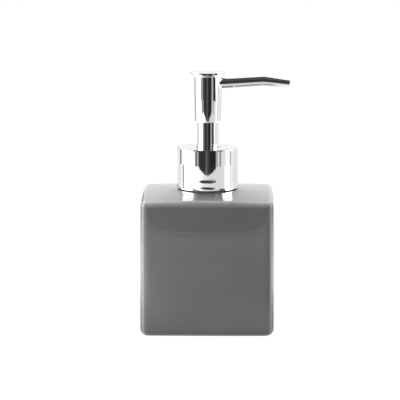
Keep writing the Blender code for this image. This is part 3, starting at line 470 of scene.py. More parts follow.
def world():
    """White behind everything, a soft even dome for the light, and a banded room for the metal."""
    made = bpy.data.worlds.new("studio")
    bpy.context.scene.world = made
    made.use_nodes = True
    n = Nodes(made.node_tree)
    direction = n.add("ShaderNodeTexCoord").outputs["Generated"]
    parts = n.add("ShaderNodeSeparateXYZ", {"Vector": direction})
    sideways, along, up = (parts.outputs[axis] for axis in "XYZ")
    ring = by_azimuth(n, sideways, along, ROOM_BANDS)
    across = n.math("ADD", n.math("MULTIPLY", sideways, 0.5), 0.5)
    stops = [((place + 1) / 2, level / BRIGHTEST) for place, level in OVERHEAD_BANDS]
    corridor = n.scaled(n.ramp(across, stops), BRIGHTEST)
    over = n.math("ARCTAN2", up, n.math("MULTIPLY", along, -1.0))
    strip = n.math(
        "MULTIPLY",
        n.span(over, *map(math.radians, STRIP_FADE_IN)),
        n.span(over, *map(math.radians, STRIP_FADE_OUT)),
    )
    lit_corridor = n.blend(strip, corridor, grey(STRIP_LEVEL), "ADD")
    wall = n.span(over, *map(math.radians, BACK_WALL_TOP))
    high = n.blend(wall, lit_corridor, grey(BACK_WALL_LEVEL))
    raised = n.span(up, *(math.sin(math.radians(angle)) for angle in ELEVATIONS))
    room = n.blend(raised, ring, high)
    lit = n.blend(n.mirrored(), grey(DOME_LEVEL), room)
    shown = n.blend(n.seen(), lit, grey(1))
    background = n.add("ShaderNodeBackground", {"Color": shown, "Strength": 1.0})
    n.add("ShaderNodeOutputWorld", {"Surface": background.outputs[0]})


def table_reach(degrees):
    """How far the table reaches at an azimuth, in metres."""
    degrees = abs(degrees)
    for (near, near_reach), (far, far_reach) in zip(TABLE_OUTLINE, TABLE_OUTLINE[1:]):
        if degrees <= far:
            share = (degrees - near) / (far - near)
            return near_reach + (far_reach - near_reach) * share
    return TABLE_OUTLINE[-1][1]


def table():
    """White table under the object, nearly plain to the camera, and glowing in bands of painted
    reflection to the metal.
    """
    shape = bmesh.new()
    centre = shape.verts.new((0, 0, 0))
    rim = []
    for degrees in range(-180, 180, TABLE_STEP_DEGREES):
        reach = table_reach(degrees)
        angle = math.radians(degrees)
        rim.append(shape.verts.new((reach * math.sin(angle), -reach * math.cos(angle), 0)))
    for index, vertex in enumerate(rim):
        shape.faces.new((centre, vertex, rim[(index + 1) % len(rim)]))
    mesh = mesh_of(shape, "table")
    top = bpy.data.objects.new("table", mesh)
    top.location = (0, 0, -TABLE_DROP)
    bpy.context.scene.collection.objects.link(top)
    material, n = new_material("white_table_painted_reflections")
    place = n.add("ShaderNodeNewGeometry").outputs["Position"]
    parts = n.add("ShaderNodeSeparateXYZ", {"Vector": place})
    sideways, along = parts.outputs["X"], parts.outputs["Y"]
    distance = n.math(
        "SQRT", n.math("ADD", n.math("POWER", sideways, 2.0), n.math("POWER", along, 2.0))
    )
    azimuth = n.math("ARCTAN2", sideways, n.math("MULTIPLY", along, -1.0))
    far = n.span(distance, FAR_DISTANCE - FAR_SOFTNESS, FAR_DISTANCE + FAR_SOFTNESS)
    # Painted reflections: the table glows in these bands only to the rays that the metal and the glaze
    # mirror
    near_level = by_azimuth(n, sideways, along, NEAR_TABLE_GLOW)
    far_level = by_azimuth(n, sideways, along, FAR_TABLE_GLOW)
    level = n.blend(far, near_level, far_level)
    close = n.span(distance, CLOSE_END, CLOSE_DISTANCE)
    level = n.blend(close, level, by_azimuth(n, sideways, along, CLOSE_TABLE_GLOW))
    nearest = n.span(distance, NEAREST_END, NEAREST_DISTANCE)
    level = n.blend(nearest, level, grey(NEAREST_LEVEL))
    # Painted shade lines in the glow that the metal and the glaze mirror
    for reach, half_width, half_angle in PAINTED_SHADE_LINES:
        aside = n.math("SUBTRACT", azimuth, math.radians(MARK_MIDDLE_DEGREES))
        aside = n.math("DIVIDE", n.math("ABSOLUTE", aside), math.radians(half_angle))
        narrowing = n.math("SUBTRACT", 1.0, n.math("POWER", aside, MARK_POWER))
        width_here = n.math("MULTIPLY", narrowing, half_width)
        off_middle = n.math("ABSOLUTE", n.math("SUBTRACT", distance, reach))
        past_edge = n.math("SUBTRACT", off_middle, width_here)
        level = n.blend(n.span(past_edge, MARK_SOFTNESS, -MARK_SOFTNESS), level, grey(SHADE_LINE_LEVEL))
    plain = n.add("ShaderNodeBsdfDiffuse", {"Color": TABLE_COLOUR})
    # Camera rays see an even white; mirrored rays see the painted reflection bands and shade lines
    shown = n.blend(n.seen(), level, grey(TABLE_SHOWN_LEVEL))
    white = n.add("ShaderNodeEmission", {"Color": shown, "Strength": 1.0})
    share = n.math("MAXIMUM", n.math("MULTIPLY", n.seen(), TABLE_SHOWN_SHARE), n.mirrored())
    mixed = n.add("ShaderNodeMixShader", {0: share, 1: plain.outputs[0], 2: white.outputs[0]})
    n.add("ShaderNodeOutputMaterial", {"Surface": mixed.outputs[0]})
    mesh.materials.append(material)


def area_light(name, place, aim, size, power):
    """A soft square lamp that the metal doesn't mirror."""
    data = bpy.data.lights.new(name, "AREA")
    data.shape = "SQUARE"
    data.size = size
    data.energy = power
    lamp = bpy.data.objects.new(name, data)
    lamp.location = place
    lamp.rotation_euler = (Vector(aim) - Vector(place)).to_track_quat("-Z", "Y").to_euler()
    lamp.visible_glossy = False
    bpy.context.scene.collection.objects.link(lamp)


def new_material(name):
    material = bpy.data.materials.new(name)
    material.use_nodes = True
    return material, Nodes(material.node_tree)


def finish_material(n, inputs):
    """Join a principled shader with these inputs to the material's output."""
    shader = n.add("ShaderNodeBsdfPrincipled", inputs)
    n.add("ShaderNodeOutputMaterial", {"Surface": shader.outputs[0]})


def chrome_material():
    """Bright chrome plating: a mirror with a faint ripple and haze."""
    material, n = new_material("chrome_plating")
    place = n.place()
    ripple = n.noise(place, *CHROME_RIPPLE)
    haze = n.noise(place, *CHROME_HAZE)
    finish_material(n, {
        "Base Color": CHROME_COLOUR,
        "Metallic": 1.0,
        "Roughness": n.span(haze, *HAZE_RANGE, *CHROME_ROUGHNESS),
        "Normal": n.bump(ripple, *CHROME_BUMP),
    })
    return material


def glaze_material():
    """Grey glaze, glossy and a little uneven, pale where it breaks thinly over the edges, and paler
    there with painted highlights.
    """
    material, n = new_material("grey_glaze")
    place = n.place()
    clouds = n.noise(place, *GLAZE_CLOUDS)
    colour = n.blend(n.span(clouds, *GRAIN_RANGE), GLAZE_DARK, GLAZE_LIGHT)
    # Pale at the edges where the glaze runs thinly, and paler still with painted highlights
    thin_and_highlight = n.add("ShaderNodeAttribute", attribute_name=THIN_GLAZE_AND_HIGHLIGHT).outputs["Fac"]
    uneven = n.span(n.noise(place, *GLAZE_BREAK_UP), *BREAK_UP_RANGE, *THIN_GLAZE_LEVELS)
    most = n.math("MULTIPLY", uneven, THIN_GLAZE_SHARE)
    pale = n.math("MULTIPLY", n.span(thin_and_highlight, THIN_GLAZE_START, 1.0), most)
    haze = n.noise(place, *GLAZE_HAZE)
    ripple = n.noise(place, *GLAZE_RIPPLE)
    finish_material(n, {
        "Base Color": n.blend(pale, colour, CLAY_AND_HIGHLIGHT_COLOUR),
        "Roughness": n.span(haze, *HAZE_RANGE, *GLAZE_ROUGHNESS),
        "IOR": GLAZE_INDEX,
        "Normal": n.bump(ripple, *GLAZE_BUMP),
    })
    return material


def clay_material():
    """Bare fired clay of the foot, matt and finely grained."""
    material, n = new_material("bare_clay")
    grain = n.noise(n.place(), *CLAY_GRAIN)
    finish_material(n, {
        "Base Color": n.blend(n.span(grain, *GRAIN_RANGE), BARE_CLAY_DARK, BARE_CLAY_LIGHT),
        "Roughness": BARE_CLAY_ROUGHNESS,
        "Normal": n.bump(grain, *CLAY_BUMP),
    })
    return material


def plastic_material(name, colour, roughness, transmission):
    """Moulded plastic with a fine matt grain."""
    material, n = new_material(name)
    grain = n.noise(n.place(), *PLASTIC_GRAIN)
    low = roughness * (1 - PLASTIC_ROUGHNESS_SPREAD)
    high = roughness * (1 + PLASTIC_ROUGHNESS_SPREAD)
    finish_material(n, {
        "Base Color": (*colour, 1),
        "Roughness": n.span(grain, *GRAIN_RANGE, low, high),
        "IOR": PLASTIC_INDEX,
        "Transmission Weight": transmission,
        "Normal": n.bump(grain, *PLASTIC_BUMP),
    })
    return material


def steel_material():
    """Bright drawn steel."""
    material, n = new_material("drawn_steel")
    grain = n.noise(n.place(), *STEEL_GRAIN)
    finish_material(n, {
        "Base Color": STEEL_COLOUR,
        "Metallic": 1.0,
        "Roughness": n.span(grain, *GRAIN_RANGE, *STEEL_ROUGHNESS),
    })
    return material


def add_piece(name, mesh, material, body, slot, *nodes):
    """Put a mesh in the scene as a piece that rides on a body and stands for CAD nodes."""
    piece = bpy.data.objects.new(name, mesh)
    bpy.context.scene.collection.objects.link(piece)
    mesh.materials.clear()
    mesh.materials.append(material)
    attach(piece, body)
    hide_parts(*nodes)
    return piece


def plan_ring(half, radius):
    """Points round a rounded square, each with its outward direction and its share of the corner."""
    flat = half - radius
    ring = []
    for quarter in range(4):
        turn = Matrix.Rotation(quarter * math.pi / 2, 2)
        for step in range(FLAT_STEPS):
            place = Vector((half, flat * (2 * step / FLAT_STEPS - 1)))
            ring.append((turn @ place, turn @ Vector((1, 0)), 0.0))
        for step in range(ARC_STEPS):
            share = step / ARC_STEPS
            angle = math.pi / 2 * share
            out = Vector((math.cos(angle), math.sin(angle)))
            ring.append((turn @ (Vector((flat, flat)) + out * radius), turn @ out, share))
    return ring


def top_height(x, y, half):
    """Height of the crowned top above a place in the plan."""
    fall_x = 1 - TOP_FALL * min(abs(x) / half, 1) ** 2
    fall_y = 1 - TOP_FALL * min(abs(y) / half, 1) ** 2
    return TOP_BASE_Z + TOP_RISE * fall_x * fall_y


def shaped(x, y, z, half):
    """Lean the upper walls in and crown them, and lift the top by its crown."""
    across, along = x / half, y / half
    rise = max(0.0, (z - LEAN_START_Z) / (TOP_BASE_Z - LEAN_START_Z)) ** 2
    front = FRONT_LEAN * rise * (1 - abs(across) ** LEAN_FADE_POWER) + FACE_CROWN * across**2
    side = SIDE_LEAN * rise * (1 - abs(along) ** LEAN_FADE_POWER) + FACE_CROWN * along**2
    upper = max(0.0, 2 * z / TOP_BASE_Z - 1)
    lift = (top_height(x, y, half) - TOP_BASE_Z) * upper**2
    return Vector((x - side * across, y - front * along, z + lift))


def quarter_round(radius, steps, first=0):
    """Inset and drop at each step round a quarter of a circle, from its level end to its steep end."""
    for step in range(first, steps + 1):
        angle = math.pi / 2 * step / steps
        yield radius * (1 - math.sin(angle)), radius * (1 - math.cos(angle))


def drawn_in(plan, inset, z, half, share=1.0):
    """A ring of the block at a height, drawn in by an inset and then towards the axis by a share."""
    made = []
    for place, out, _ in plan:
        point = (place - out * inset) * share
        made.append((shaped(point.x, point.y, z, half), 0.0))
    return made


def circle(plan, radius, z):
    """A round ring, with its points in line with those of the plan."""
    return [(Vector((*(place.normalized() * radius), z)), 0.0) for place, _, _ in plan]


def outer_rings(plan, half):
    """Rings from the middle of the base over the foot, up the walls and round the top's edge."""
    rings = [drawn_in(plan, FOOT_EDGE_RADIUS, 0, half, share) for share in BASE_SHARES]

    def glazed(inset, z, edge):
        made = []
        for place, out, turn in plan:
            point = place - out * inset
            # Each corner pales towards its middle: glaze that runs thinly, and a painted highlight
            corner = CORNER_THIN_AND_HIGHLIGHT * math.sin(math.pi * turn) ** CORNER_THIN_POWER
            made.append((shaped(point.x, point.y, z, half), max(edge, corner)))
        rings.append(made)

    for step in range(EDGE_STEPS + 1):
        angle = math.pi / 2 * step / EDGE_STEPS
        inset = FOOT_EDGE_RADIUS * (1 - math.sin(angle))
        edge = FOOT_THIN_AND_HIGHLIGHT * math.sin(2 * angle) ** 2
        glazed(inset, FOOT_EDGE_RADIUS * (1 - math.cos(angle)), edge)
    low, top = FOOT_EDGE_RADIUS, TOP_BASE_Z - TOP_EDGE_RADIUS
    glazed(0, low + FOOT_HOLD, 0)
    for step in range(1, WALL_STEPS):
        glazed(0, low + (top - TOP_HOLD - low) * step / WALL_STEPS, 0)
    for depth in TOP_RING_DEPTHS_MM:
        glazed(0, top - depth * MM, TOP_THIN_AND_HIGHLIGHT * math.exp(-depth * MM / TOP_THIN_DEPTH))
    for step in range(EDGE_STEPS + 1):
        angle = math.pi / 2 * step / EDGE_STEPS
        inset = TOP_EDGE_RADIUS * (1 - math.cos(angle))
        # The top edge's pale line is partly a painted highlight
        edge = max(TOP_THIN_AND_HIGHLIGHT, TOP_EDGE_THIN_AND_HIGHLIGHT * math.sin(angle) ** 2)
        glazed(inset, top + TOP_EDGE_RADIUS * math.sin(angle), edge)
    return rings


def top_rings(plan, half, land_z):
    """Rings from the top's edge in to the mouth, down to its land and into its bore."""
    rings = []

    def over(inner, share):
        made = []
        for place, out, _ in plan:
            edge = place - out * TOP_EDGE_RADIUS
            point = (edge.normalized() * inner).lerp(edge, share)
            moved = shaped(point.x, point.y, TOP_BASE_Z, half)
            made.append((Vector((point.x, point.y, moved.z)).lerp(moved, share), 0.0))
        rings.append(made)

    for step in range(TOP_STEPS - 1, 0, -1):
        over(LAND_RADIUS, step / TOP_STEPS)
    over(LAND_RADIUS + LIP_RADIUS, 0)
    rim_z = rings[-1][0][0].z
    for inset, drop in quarter_round(LIP_RADIUS, LAND_LIP_STEPS, 1):
        rings.append(circle(plan, LAND_RADIUS + inset, rim_z - drop))
    for radius in (LAND_RADIUS, LAND_RADIUS - LAND_HOLD, MOUTH_RADIUS + LIP_RADIUS):
        rings.append(circle(plan, radius, land_z))
    for inset, drop in quarter_round(LIP_RADIUS, MOUTH_LIP_STEPS, 1):
        rings.append(circle(plan, MOUTH_RADIUS + inset, land_z - drop))
    return rings


def inner_rings(plan, half):
    """Rings from the mouth's bore out under the ceiling, down the walls and over the floor."""
    inner = plan_ring(half - WALL, CAVITY_EDGE_RADIUS)
    ceiling = TOP_BASE_Z - CEILING
    under = shaped(MOUTH_RADIUS, 0, ceiling, half).z
    rings = [circle(plan, MOUTH_RADIUS, under + LIP_RADIUS)]
    for step in range(CEILING_STEPS):
        made = []
        for place, out, _ in inner:
            edge = place - out * CAVITY_CORNER_RADIUS
            point = (edge.normalized() * (MOUTH_RADIUS + LIP_RADIUS)).lerp(edge, step / CEILING_STEPS)
            made.append((shaped(point.x, point.y, ceiling, half), 0.0))
        rings.append(made)
    for inset, drop in quarter_round(CAVITY_CORNER_RADIUS, CAVITY_STEPS):
        rings.append(drawn_in(inner, inset, ceiling - drop, half))
    wall_low = FLOOR + CAVITY_CORNER_RADIUS
    wall_high = ceiling - CAVITY_CORNER_RADIUS
    for step in range(1, CAVITY_STEPS):
        z = wall_high - (wall_high - wall_low) * step / CAVITY_STEPS
        rings.append(drawn_in(inner, 0, z, half))
    for rise, inset in quarter_round(CAVITY_CORNER_RADIUS, CAVITY_STEPS):
        rings.append(drawn_in(inner, inset, FLOOR + rise, half))
    for share in FLOOR_SHARES:
        rings.append(drawn_in(inner, CAVITY_CORNER_RADIUS, FLOOR, half, share))
    return rings


def mesh_of(shape, name):
    mesh = bpy.data.meshes.new(name)
    shape.to_mesh(mesh)
    shape.free()
    return mesh


def smooth(mesh, degrees=SMOOTH_DEGREES):
    mesh.shade_smooth()
    mesh.set_sharp_from_angle(angle=math.radians(degrees))


def join(shape, near, far):
    """Faces between two rings with the same number of points."""
    count = len(near)
    for step in range(count):
        after = (step + 1) % count
        shape.faces.new((near[step], near[after], far[after], far[step]))


def loft(name, rings, closed=False):
    """A mesh through rings of points, with its ends joined to each other or else filled."""
    shape = bmesh.new()
    made = [[shape.verts.new(point) for point in ring] for ring in rings]
    for near, far in zip(made, made[1:]):
        join(shape, near, far)
    if closed:
        join(shape, made[-1], made[0])
    else:
        shape.faces.new(made[0])
        shape.faces.new(made[-1])
    bmesh.ops.recalc_face_normals(shape, faces=shape.faces)
    mesh = mesh_of(shape, name)
    smooth(mesh)
    return mesh


def block(glaze, bare_clay):
    """The glazed block: crowned and rounded outside, hollow, with its mouth, land and bare foot."""
    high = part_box("bottle")[1]
    plan = plan_ring(high.x, SIDE_EDGE_RADIUS)
    outline = outer_rings(plan, high.x)
    outline += top_rings(plan, high.x, high.z - LAND_DROP)
    outline += inner_rings(plan, high.x)
    shape = bmesh.new()
    # Weights that pale the glaze over the edges, for glaze that runs thinly and for painted highlights
    thin_and_highlight = shape.verts.layers.float.new(THIN_GLAZE_AND_HIGHLIGHT)
    rings = []
    for made in outline:
        ring = []
        for place, weight in made:
            vertex = shape.verts.new(place)
            vertex[thin_and_highlight] = weight
            ring.append(vertex)
        rings.append(ring)
    for lower, upper in zip(rings, rings[1:]):
        join(shape, lower, upper)
    shape.faces.new(rings[0][::-1])
    shape.faces.new(rings[-1])
    bmesh.ops.recalc_face_normals(shape, faces=shape.faces)
    for face in shape.faces:
        flat_foot = all(vertex.co.z < BARE_FOOT_HEIGHT for vertex in face.verts)
        face.material_index = 1 if flat_foot else 0
    mesh = mesh_of(shape, "glazed_block")
    smooth(mesh, BLOCK_SMOOTH_DEGREES)
    add_piece("glazed_block", mesh, glaze, "bottle_body", "glaze", "bottle")
    mesh.materials.append(bare_clay)


def filleted(corners, closed=True):
    """Points of an outline whose corners are (radius, height) or (radius, height, fillet)."""
    points = []
    for index, corner in enumerate(corners):
        here = Vector(corner[:2])
        at_end = not closed and index in (0, len(corners) - 1)
        if len(corner) == 2 or at_end:
            points.append(here)
            continue
        fillet = corner[2]
        before = (Vector(corners[index - 1][:2]) - here).normalized()
        after = (Vector(corners[(index + 1) % len(corners)][:2]) - here).normalized()
        half_angle = before.angle(after) / 2
        centre = here + (before + after).normalized() * fillet / math.sin(half_angle)
        start = here + before * fillet / math.tan(half_angle) - centre
        end = here + after * fillet / math.tan(half_angle) - centre
        swing = math.atan2(start.x * end.y - start.y * end.x, start.dot(end))
        for step in range(FILLET_STEPS + 1):
            angle = swing * step / FILLET_STEPS
            points.append(centre + Matrix.Rotation(angle, 2) @ start)
    held = []
    for index, point in enumerate(points):
        held.append(point)
        if not closed and index == len(points) - 1:
            break
        after = points[(index + 1) % len(points)]
        length = (after - point).length
        if length > SHORTEST_HELD:
            held.append(point.lerp(after, HOLD_DISTANCE / length))
            held.append(point.lerp(after, 1 - HOLD_DISTANCE / length))
    return held


def lathe(name, corners, closed=True, steps=LATHE_STEPS):
    """Turn an outline about the axis, down its outer side first."""
    points = filleted(corners, closed)
    shape = bmesh.new()
    rings = []
    for radius, height in points:
        if radius < ON_AXIS:
            rings.append([shape.verts.new((0, 0, height))])
            continue
        ring = []
        for step in range(steps):
            angle = math.tau * step / steps
            ring.append(shape.verts.new((radius * math.cos(angle), radius * math.sin(angle), height)))
        rings.append(ring)
    pairs = list(zip(rings, rings[1:]))
    if closed:
        pairs.append((rings[-1], rings[0]))
    for upper, lower in pairs:
        for step in range(steps):
            after = (step + 1) % steps
            if len(upper) == 1:
                shape.faces.new((upper[0], lower[step], lower[after]))
            elif len(lower) == 1:
                shape.faces.new((upper[step], lower[0], upper[after]))
            else:
                shape.faces.new((upper[step], lower[step], lower[after], upper[after]))
    bmesh.ops.recalc_face_normals(shape, faces=shape.faces)
    mesh = mesh_of(shape, name)
    smooth(mesh)
    return mesh


def collar(material):
    """Chromed cover of the screw cap."""
    low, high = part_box("collar_shell")
    foot_z = low.z - COLLAR_SEAT_DROP
    plate_z = high.z - COLLAR_PLATE
    radius = high.x
    corners = [
        (radius, high.z, COLLAR_EDGE),
        (radius, foot_z, COLLAR_FOOT_EDGE),
        (radius - COLLAR_WALL, foot_z, COLLAR_INNER_EDGE),
        (radius - COLLAR_WALL, plate_z),
        (COLLAR_HOLE_RADIUS, plate_z),
        (COLLAR_HOLE_RADIUS, high.z, COLLAR_HOLE_EDGE),
    ]
    mesh = lathe("chrome_collar", corners)
    add_piece("chrome_collar", mesh, material, "collar_body", "chrome", "collar_shell")


def sleeve(material):
    """Chromed tube between the collar and the head."""
    low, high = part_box("stem_sleeve")
    radius = high.x
    corners = [
        (radius, high.z),
        (radius, low.z),
        (radius - SLEEVE_WALL, low.z),
        (radius - SLEEVE_WALL, high.z),
    ]
    mesh = lathe("chrome_sleeve", corners)
    add_piece("chrome_sleeve", mesh, material, "head_body", "chrome", "stem_sleeve")


def head_draft(height):
    """Slope of the barrel's side at a height above its foot."""
    height /= MM
    for (low, low_slope), (high, high_slope) in zip(HEAD_DRAFT, HEAD_DRAFT[1:]):
        if height <= high:
            return low_slope + (high_slope - low_slope) * (height - low) / (high - low)
    return HEAD_DRAFT[-1][1]


def head(material):
    """Chromed barrel of the head, tapered to its foot, with a shoulder and a lip under the cap."""
    low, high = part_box("head_shell")
    top = high.z + CAP_RAISE
    lip_z = top - HEAD_FLARE_LIP
    shoulder_z = lip_z - HEAD_SHOULDER_DROP
    bore = HEAD_FOOT_RADIUS - HEAD_WALL
    foot_top = low.z + HEAD_FOOT_FILLET
    rise = (shoulder_z - foot_top) / HEAD_DRAFT_STEPS
    radius = HEAD_FOOT_RADIUS
    profile = [(radius, foot_top)]
    for step in range(HEAD_DRAFT_STEPS):
        radius += head_draft(foot_top - low.z + rise * (step + 0.5)) * rise
        profile.append((radius, foot_top + rise * (step + 1)))
    corners = [
        (HEAD_FLARE_RADIUS, top),
        (HEAD_FLARE_RADIUS, lip_z, HEAD_FLARE_EDGE),
        (radius - HEAD_SHOULDER_DEPTH, lip_z),
        (radius - HEAD_SHOULDER_DEPTH, lip_z - HEAD_NECK),
        (radius, lip_z - HEAD_NECK, HEAD_SHOULDER_ROUND_SHARE * HEAD_SHOULDER_DEPTH),
        *reversed(profile),
        (HEAD_FOOT_RADIUS - HEAD_FOOT_TUCK, low.z, HEAD_FOOT_ROUND_SHARE * HEAD_FOOT_FILLET),
        (HEAD_LIP_RADIUS, low.z),
        (HEAD_LIP_RADIUS, low.z + HEAD_WALL),
        (bore, low.z + HEAD_WALL * 2),
        (bore, top),
    ]
    mesh = lathe("chrome_head", corners)
    add_piece("chrome_head", mesh, material, "head_body", "chrome", "head_shell")


def cap(material):
    """Chromed disc that the finger presses."""
    low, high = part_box("head_cap")
    top = high.z + CAP_RAISE
    rim_low = top - CAP_RIM
    radius = high.x
    corners = [
        (0, top),
        (radius * CAP_MIDDLE[0], top - CAP_CROWN * CAP_MIDDLE[1]),
        (radius * CAP_SHOULDER[0], top - CAP_CROWN * CAP_SHOULDER[1], CAP_SHOULDER_FILLET),
        (radius, top - CAP_CROWN, CAP_EDGE),
        (radius, rim_low, CAP_EDGE),
        (CAP_BOSS_RADIUS, rim_low),
        (CAP_BOSS_RADIUS, low.z),
        (0, low.z),
    ]
    mesh = lathe("chrome_cap", corners, closed=False)
    add_piece("chrome_cap", mesh, material, "head_body", "chrome", "head_cap")


def spout_route():
    """Centre points of the spout with the radius at each, from inside the head to the tip."""
    root = Vector((HEAD_RADIUS, 0, SPOUT_Z))
    bend = Vector((SPOUT_BEND_X, 0, SPOUT_Z + SPOUT_BEND_RISE))
    tip = Vector((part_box("spout")[1].x, 0, SPOUT_Z - SPOUT_TIP_DROP))
    rising = (bend - root).normalized()
    falling = (tip - bend).normalized()
    turn = rising.angle(falling)
    reach = SPOUT_BEND_RADIUS * math.tan(turn / 2)
    up = Vector((-rising.z, 0, rising.x))
    start = bend - rising * reach
    centre = start - up * SPOUT_BEND_RADIUS
    end = centre + (up * math.cos(turn) + rising * math.sin(turn)) * SPOUT_BEND_RADIUS
    route = []
    inside = root - rising * (HEAD_RADIUS - SPOUT_ROOT_RADIUS)
    for step in range(SPOUT_RISE_STEPS + 1):
        route.append(inside.lerp(start, step / SPOUT_RISE_STEPS))
    for step in range(1, SPOUT_BEND_STEPS + 1):
        angle = turn * step / SPOUT_BEND_STEPS
        route.append(centre + (up * math.cos(angle) + rising * math.sin(angle)) * SPOUT_BEND_RADIUS)
    for step in range(1, SPOUT_FALL_STEPS + 1):
        route.append(end.lerp(tip, step / SPOUT_FALL_STEPS))
    return route, root.x, bend.x, tip.x


def spout_radius(x, root_x, bend_x, tip_x):
    """Outer radius of the spout at a distance from the axis, and what its fairing adds above."""
    if x < bend_x:
        share = max(0.0, (x - root_x) / (bend_x - root_x))
        radius = SPOUT_ROOT_RADIUS + (SPOUT_BEND_SECTION_RADIUS - SPOUT_ROOT_RADIUS) * share
    else:
        share = (x - bend_x) / (tip_x - bend_x)
        radius = SPOUT_BEND_SECTION_RADIUS + (SPOUT_TIP_RADIUS - SPOUT_BEND_SECTION_RADIUS) * share
    into = max(0.0, (x - root_x) / SPOUT_FAIRING_LENGTH)
    if into >= 1:
        return radius, 0.0
    return radius, (SPOUT_FAIRING_RADIUS - SPOUT_ROOT_RADIUS) * (1 - math.sqrt(1 - (1 - into) ** 2))


def spout(material):
    """Long slim spout: a swept tube with its fairing, a rounded lip and a bore."""
    route, root_x, bend_x, tip_x = spout_route()
    rings = []

    def ring(centre, ahead, radius, fairing=0.0):
        up = Vector((-ahead.z, 0, ahead.x))
        side = Vector((0, 1, 0))
        made = []
        for step in range(SPOUT_SIDES):
            angle = math.tau * step / SPOUT_SIDES
            reach = radius + fairing * max(0.0, math.cos(angle)) ** 2
            made.append(centre + (up * math.cos(angle) + side * math.sin(angle)) * reach)
        rings.append(made)

    for index, point in enumerate(route):
        before = route[max(index - 1, 0)]
        after = route[min(index + 1, len(route) - 1)]
        ring(point, (after - before).normalized(), *spout_radius(point.x, root_x, bend_x, tip_x))
    ahead = (route[-1] - route[-2]).normalized()
    lip = (SPOUT_TIP_RADIUS - SPOUT_BORE_RADIUS) / 2
    shift = ahead * lip
    for point in rings[-1]:
        point -= shift
    for step in range(1, FILLET_STEPS * 2 + 1):
        angle = math.pi * step / (FILLET_STEPS * 2)
        centre = route[-1] - shift + ahead * lip * math.sin(angle)
        ring(centre, ahead, SPOUT_TIP_RADIUS - lip + lip * math.cos(angle))
    ring(route[-1] - ahead * SPOUT_BORE_DEPTH, ahead, SPOUT_BORE_RADIUS)
    mesh = loft("chrome_spout", rings)
    add_piece("chrome_spout", mesh, material, "head_body", "chrome", "spout")


def thread(name, base_radius, crest_radius, start_z, material, body):
    """One turn of a screw thread, which runs out at both of its ends."""
    rings = []
    for step in range(THREAD_STEPS + 1):
        share = step / THREAD_STEPS
        angle = math.tau * share
        centre_z = start_z + THREAD_LEAD * share
        full = min(1.0, share / THREAD_RUN_OUT, (1 - share) / THREAD_RUN_OUT)
        full = THREAD_END_SHARE + (1 - THREAD_END_SHARE) * full * full * (3 - 2 * full)
        crest = base_radius + (crest_radius - base_radius) * full
        ring = []
        for radius, offset in (
            (base_radius, -THREAD_BASE_WIDTH / 2),
            (crest, -THREAD_CREST_WIDTH / 2 * full),
            (crest, THREAD_CREST_WIDTH / 2 * full),
            (base_radius, THREAD_BASE_WIDTH / 2),
        ):
            ring.append((radius * math.cos(angle), radius * math.sin(angle), centre_z + offset * full))
        rings.append(ring)
    piece = bpy.data.objects.new(name, loft(name, rings))
    bpy.context.scene.collection.objects.link(piece)
    piece.data.materials.append(material)
    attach(piece, body)


def neck(material):
    """Plastic neck plugged in the mouth, with its flange and thread."""
    low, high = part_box("neck_insert")
    flange_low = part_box("mouth_seal")[1].z + SEAT_GAP
    flange_high = flange_low + NECK_FLANGE_THICKNESS
    neck_radius = MOUTH_RADIUS - SEAT_GAP
    corners = [
        (neck_radius, high.z, NECK_EDGE),
        (neck_radius, flange_high, NECK_EDGE),
        (high.x, flange_high, NECK_EDGE),
        (high.x, flange_low, NECK_EDGE),
        (neck_radius, flange_low),
        (neck_radius, low.z, NECK_EDGE),
        (NECK_BORE_RADIUS, low.z, NECK_EDGE),
        (NECK_BORE_RADIUS, high.z, NECK_EDGE),
    ]
    mesh = lathe("threaded_neck", corners, steps=PLASTIC_STEPS)
    add_piece("threaded_neck", mesh, material, "bottle_body", "white_plastic", "neck_insert")
    thread(
        "neck_thread", neck_radius - THREAD_ROOT_SINK, THREAD_RADIUS, THREAD_START_Z, material,
        "bottle_body",
    )


def screw_cap(material):
    """Plastic screw cap in the chromed cover, with its inner thread."""
    low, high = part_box("closure")
    plate_high = high.z - CLOSURE_RIM_HEIGHT
    plate_low = plate_high - CLOSURE_PLATE_THICKNESS
    corners = [
        (high.x, high.z, NECK_EDGE),
        (high.x, low.z, NECK_EDGE),
        (CLOSURE_BORE_RADIUS, low.z, NECK_EDGE),
        (CLOSURE_BORE_RADIUS, plate_low, NECK_EDGE),
        (CLOSURE_HOLE_RADIUS, plate_low, NECK_EDGE),
        (CLOSURE_HOLE_RADIUS, plate_high, NECK_EDGE),
        (CLOSURE_RIM_RADIUS, plate_high),
        (CLOSURE_RIM_RADIUS, high.z, NECK_EDGE),
    ]
    mesh = lathe("screw_cap", corners, steps=PLASTIC_STEPS)
    add_piece("screw_cap", mesh, material, "collar_body", "white_plastic", "closure")
    thread(
        "cap_thread", CLOSURE_BORE_RADIUS + THREAD_ROOT_SINK, THREAD_BORE_RADIUS,
        THREAD_START_Z + THREAD_LEAD / 2, material, "collar_body",
    )


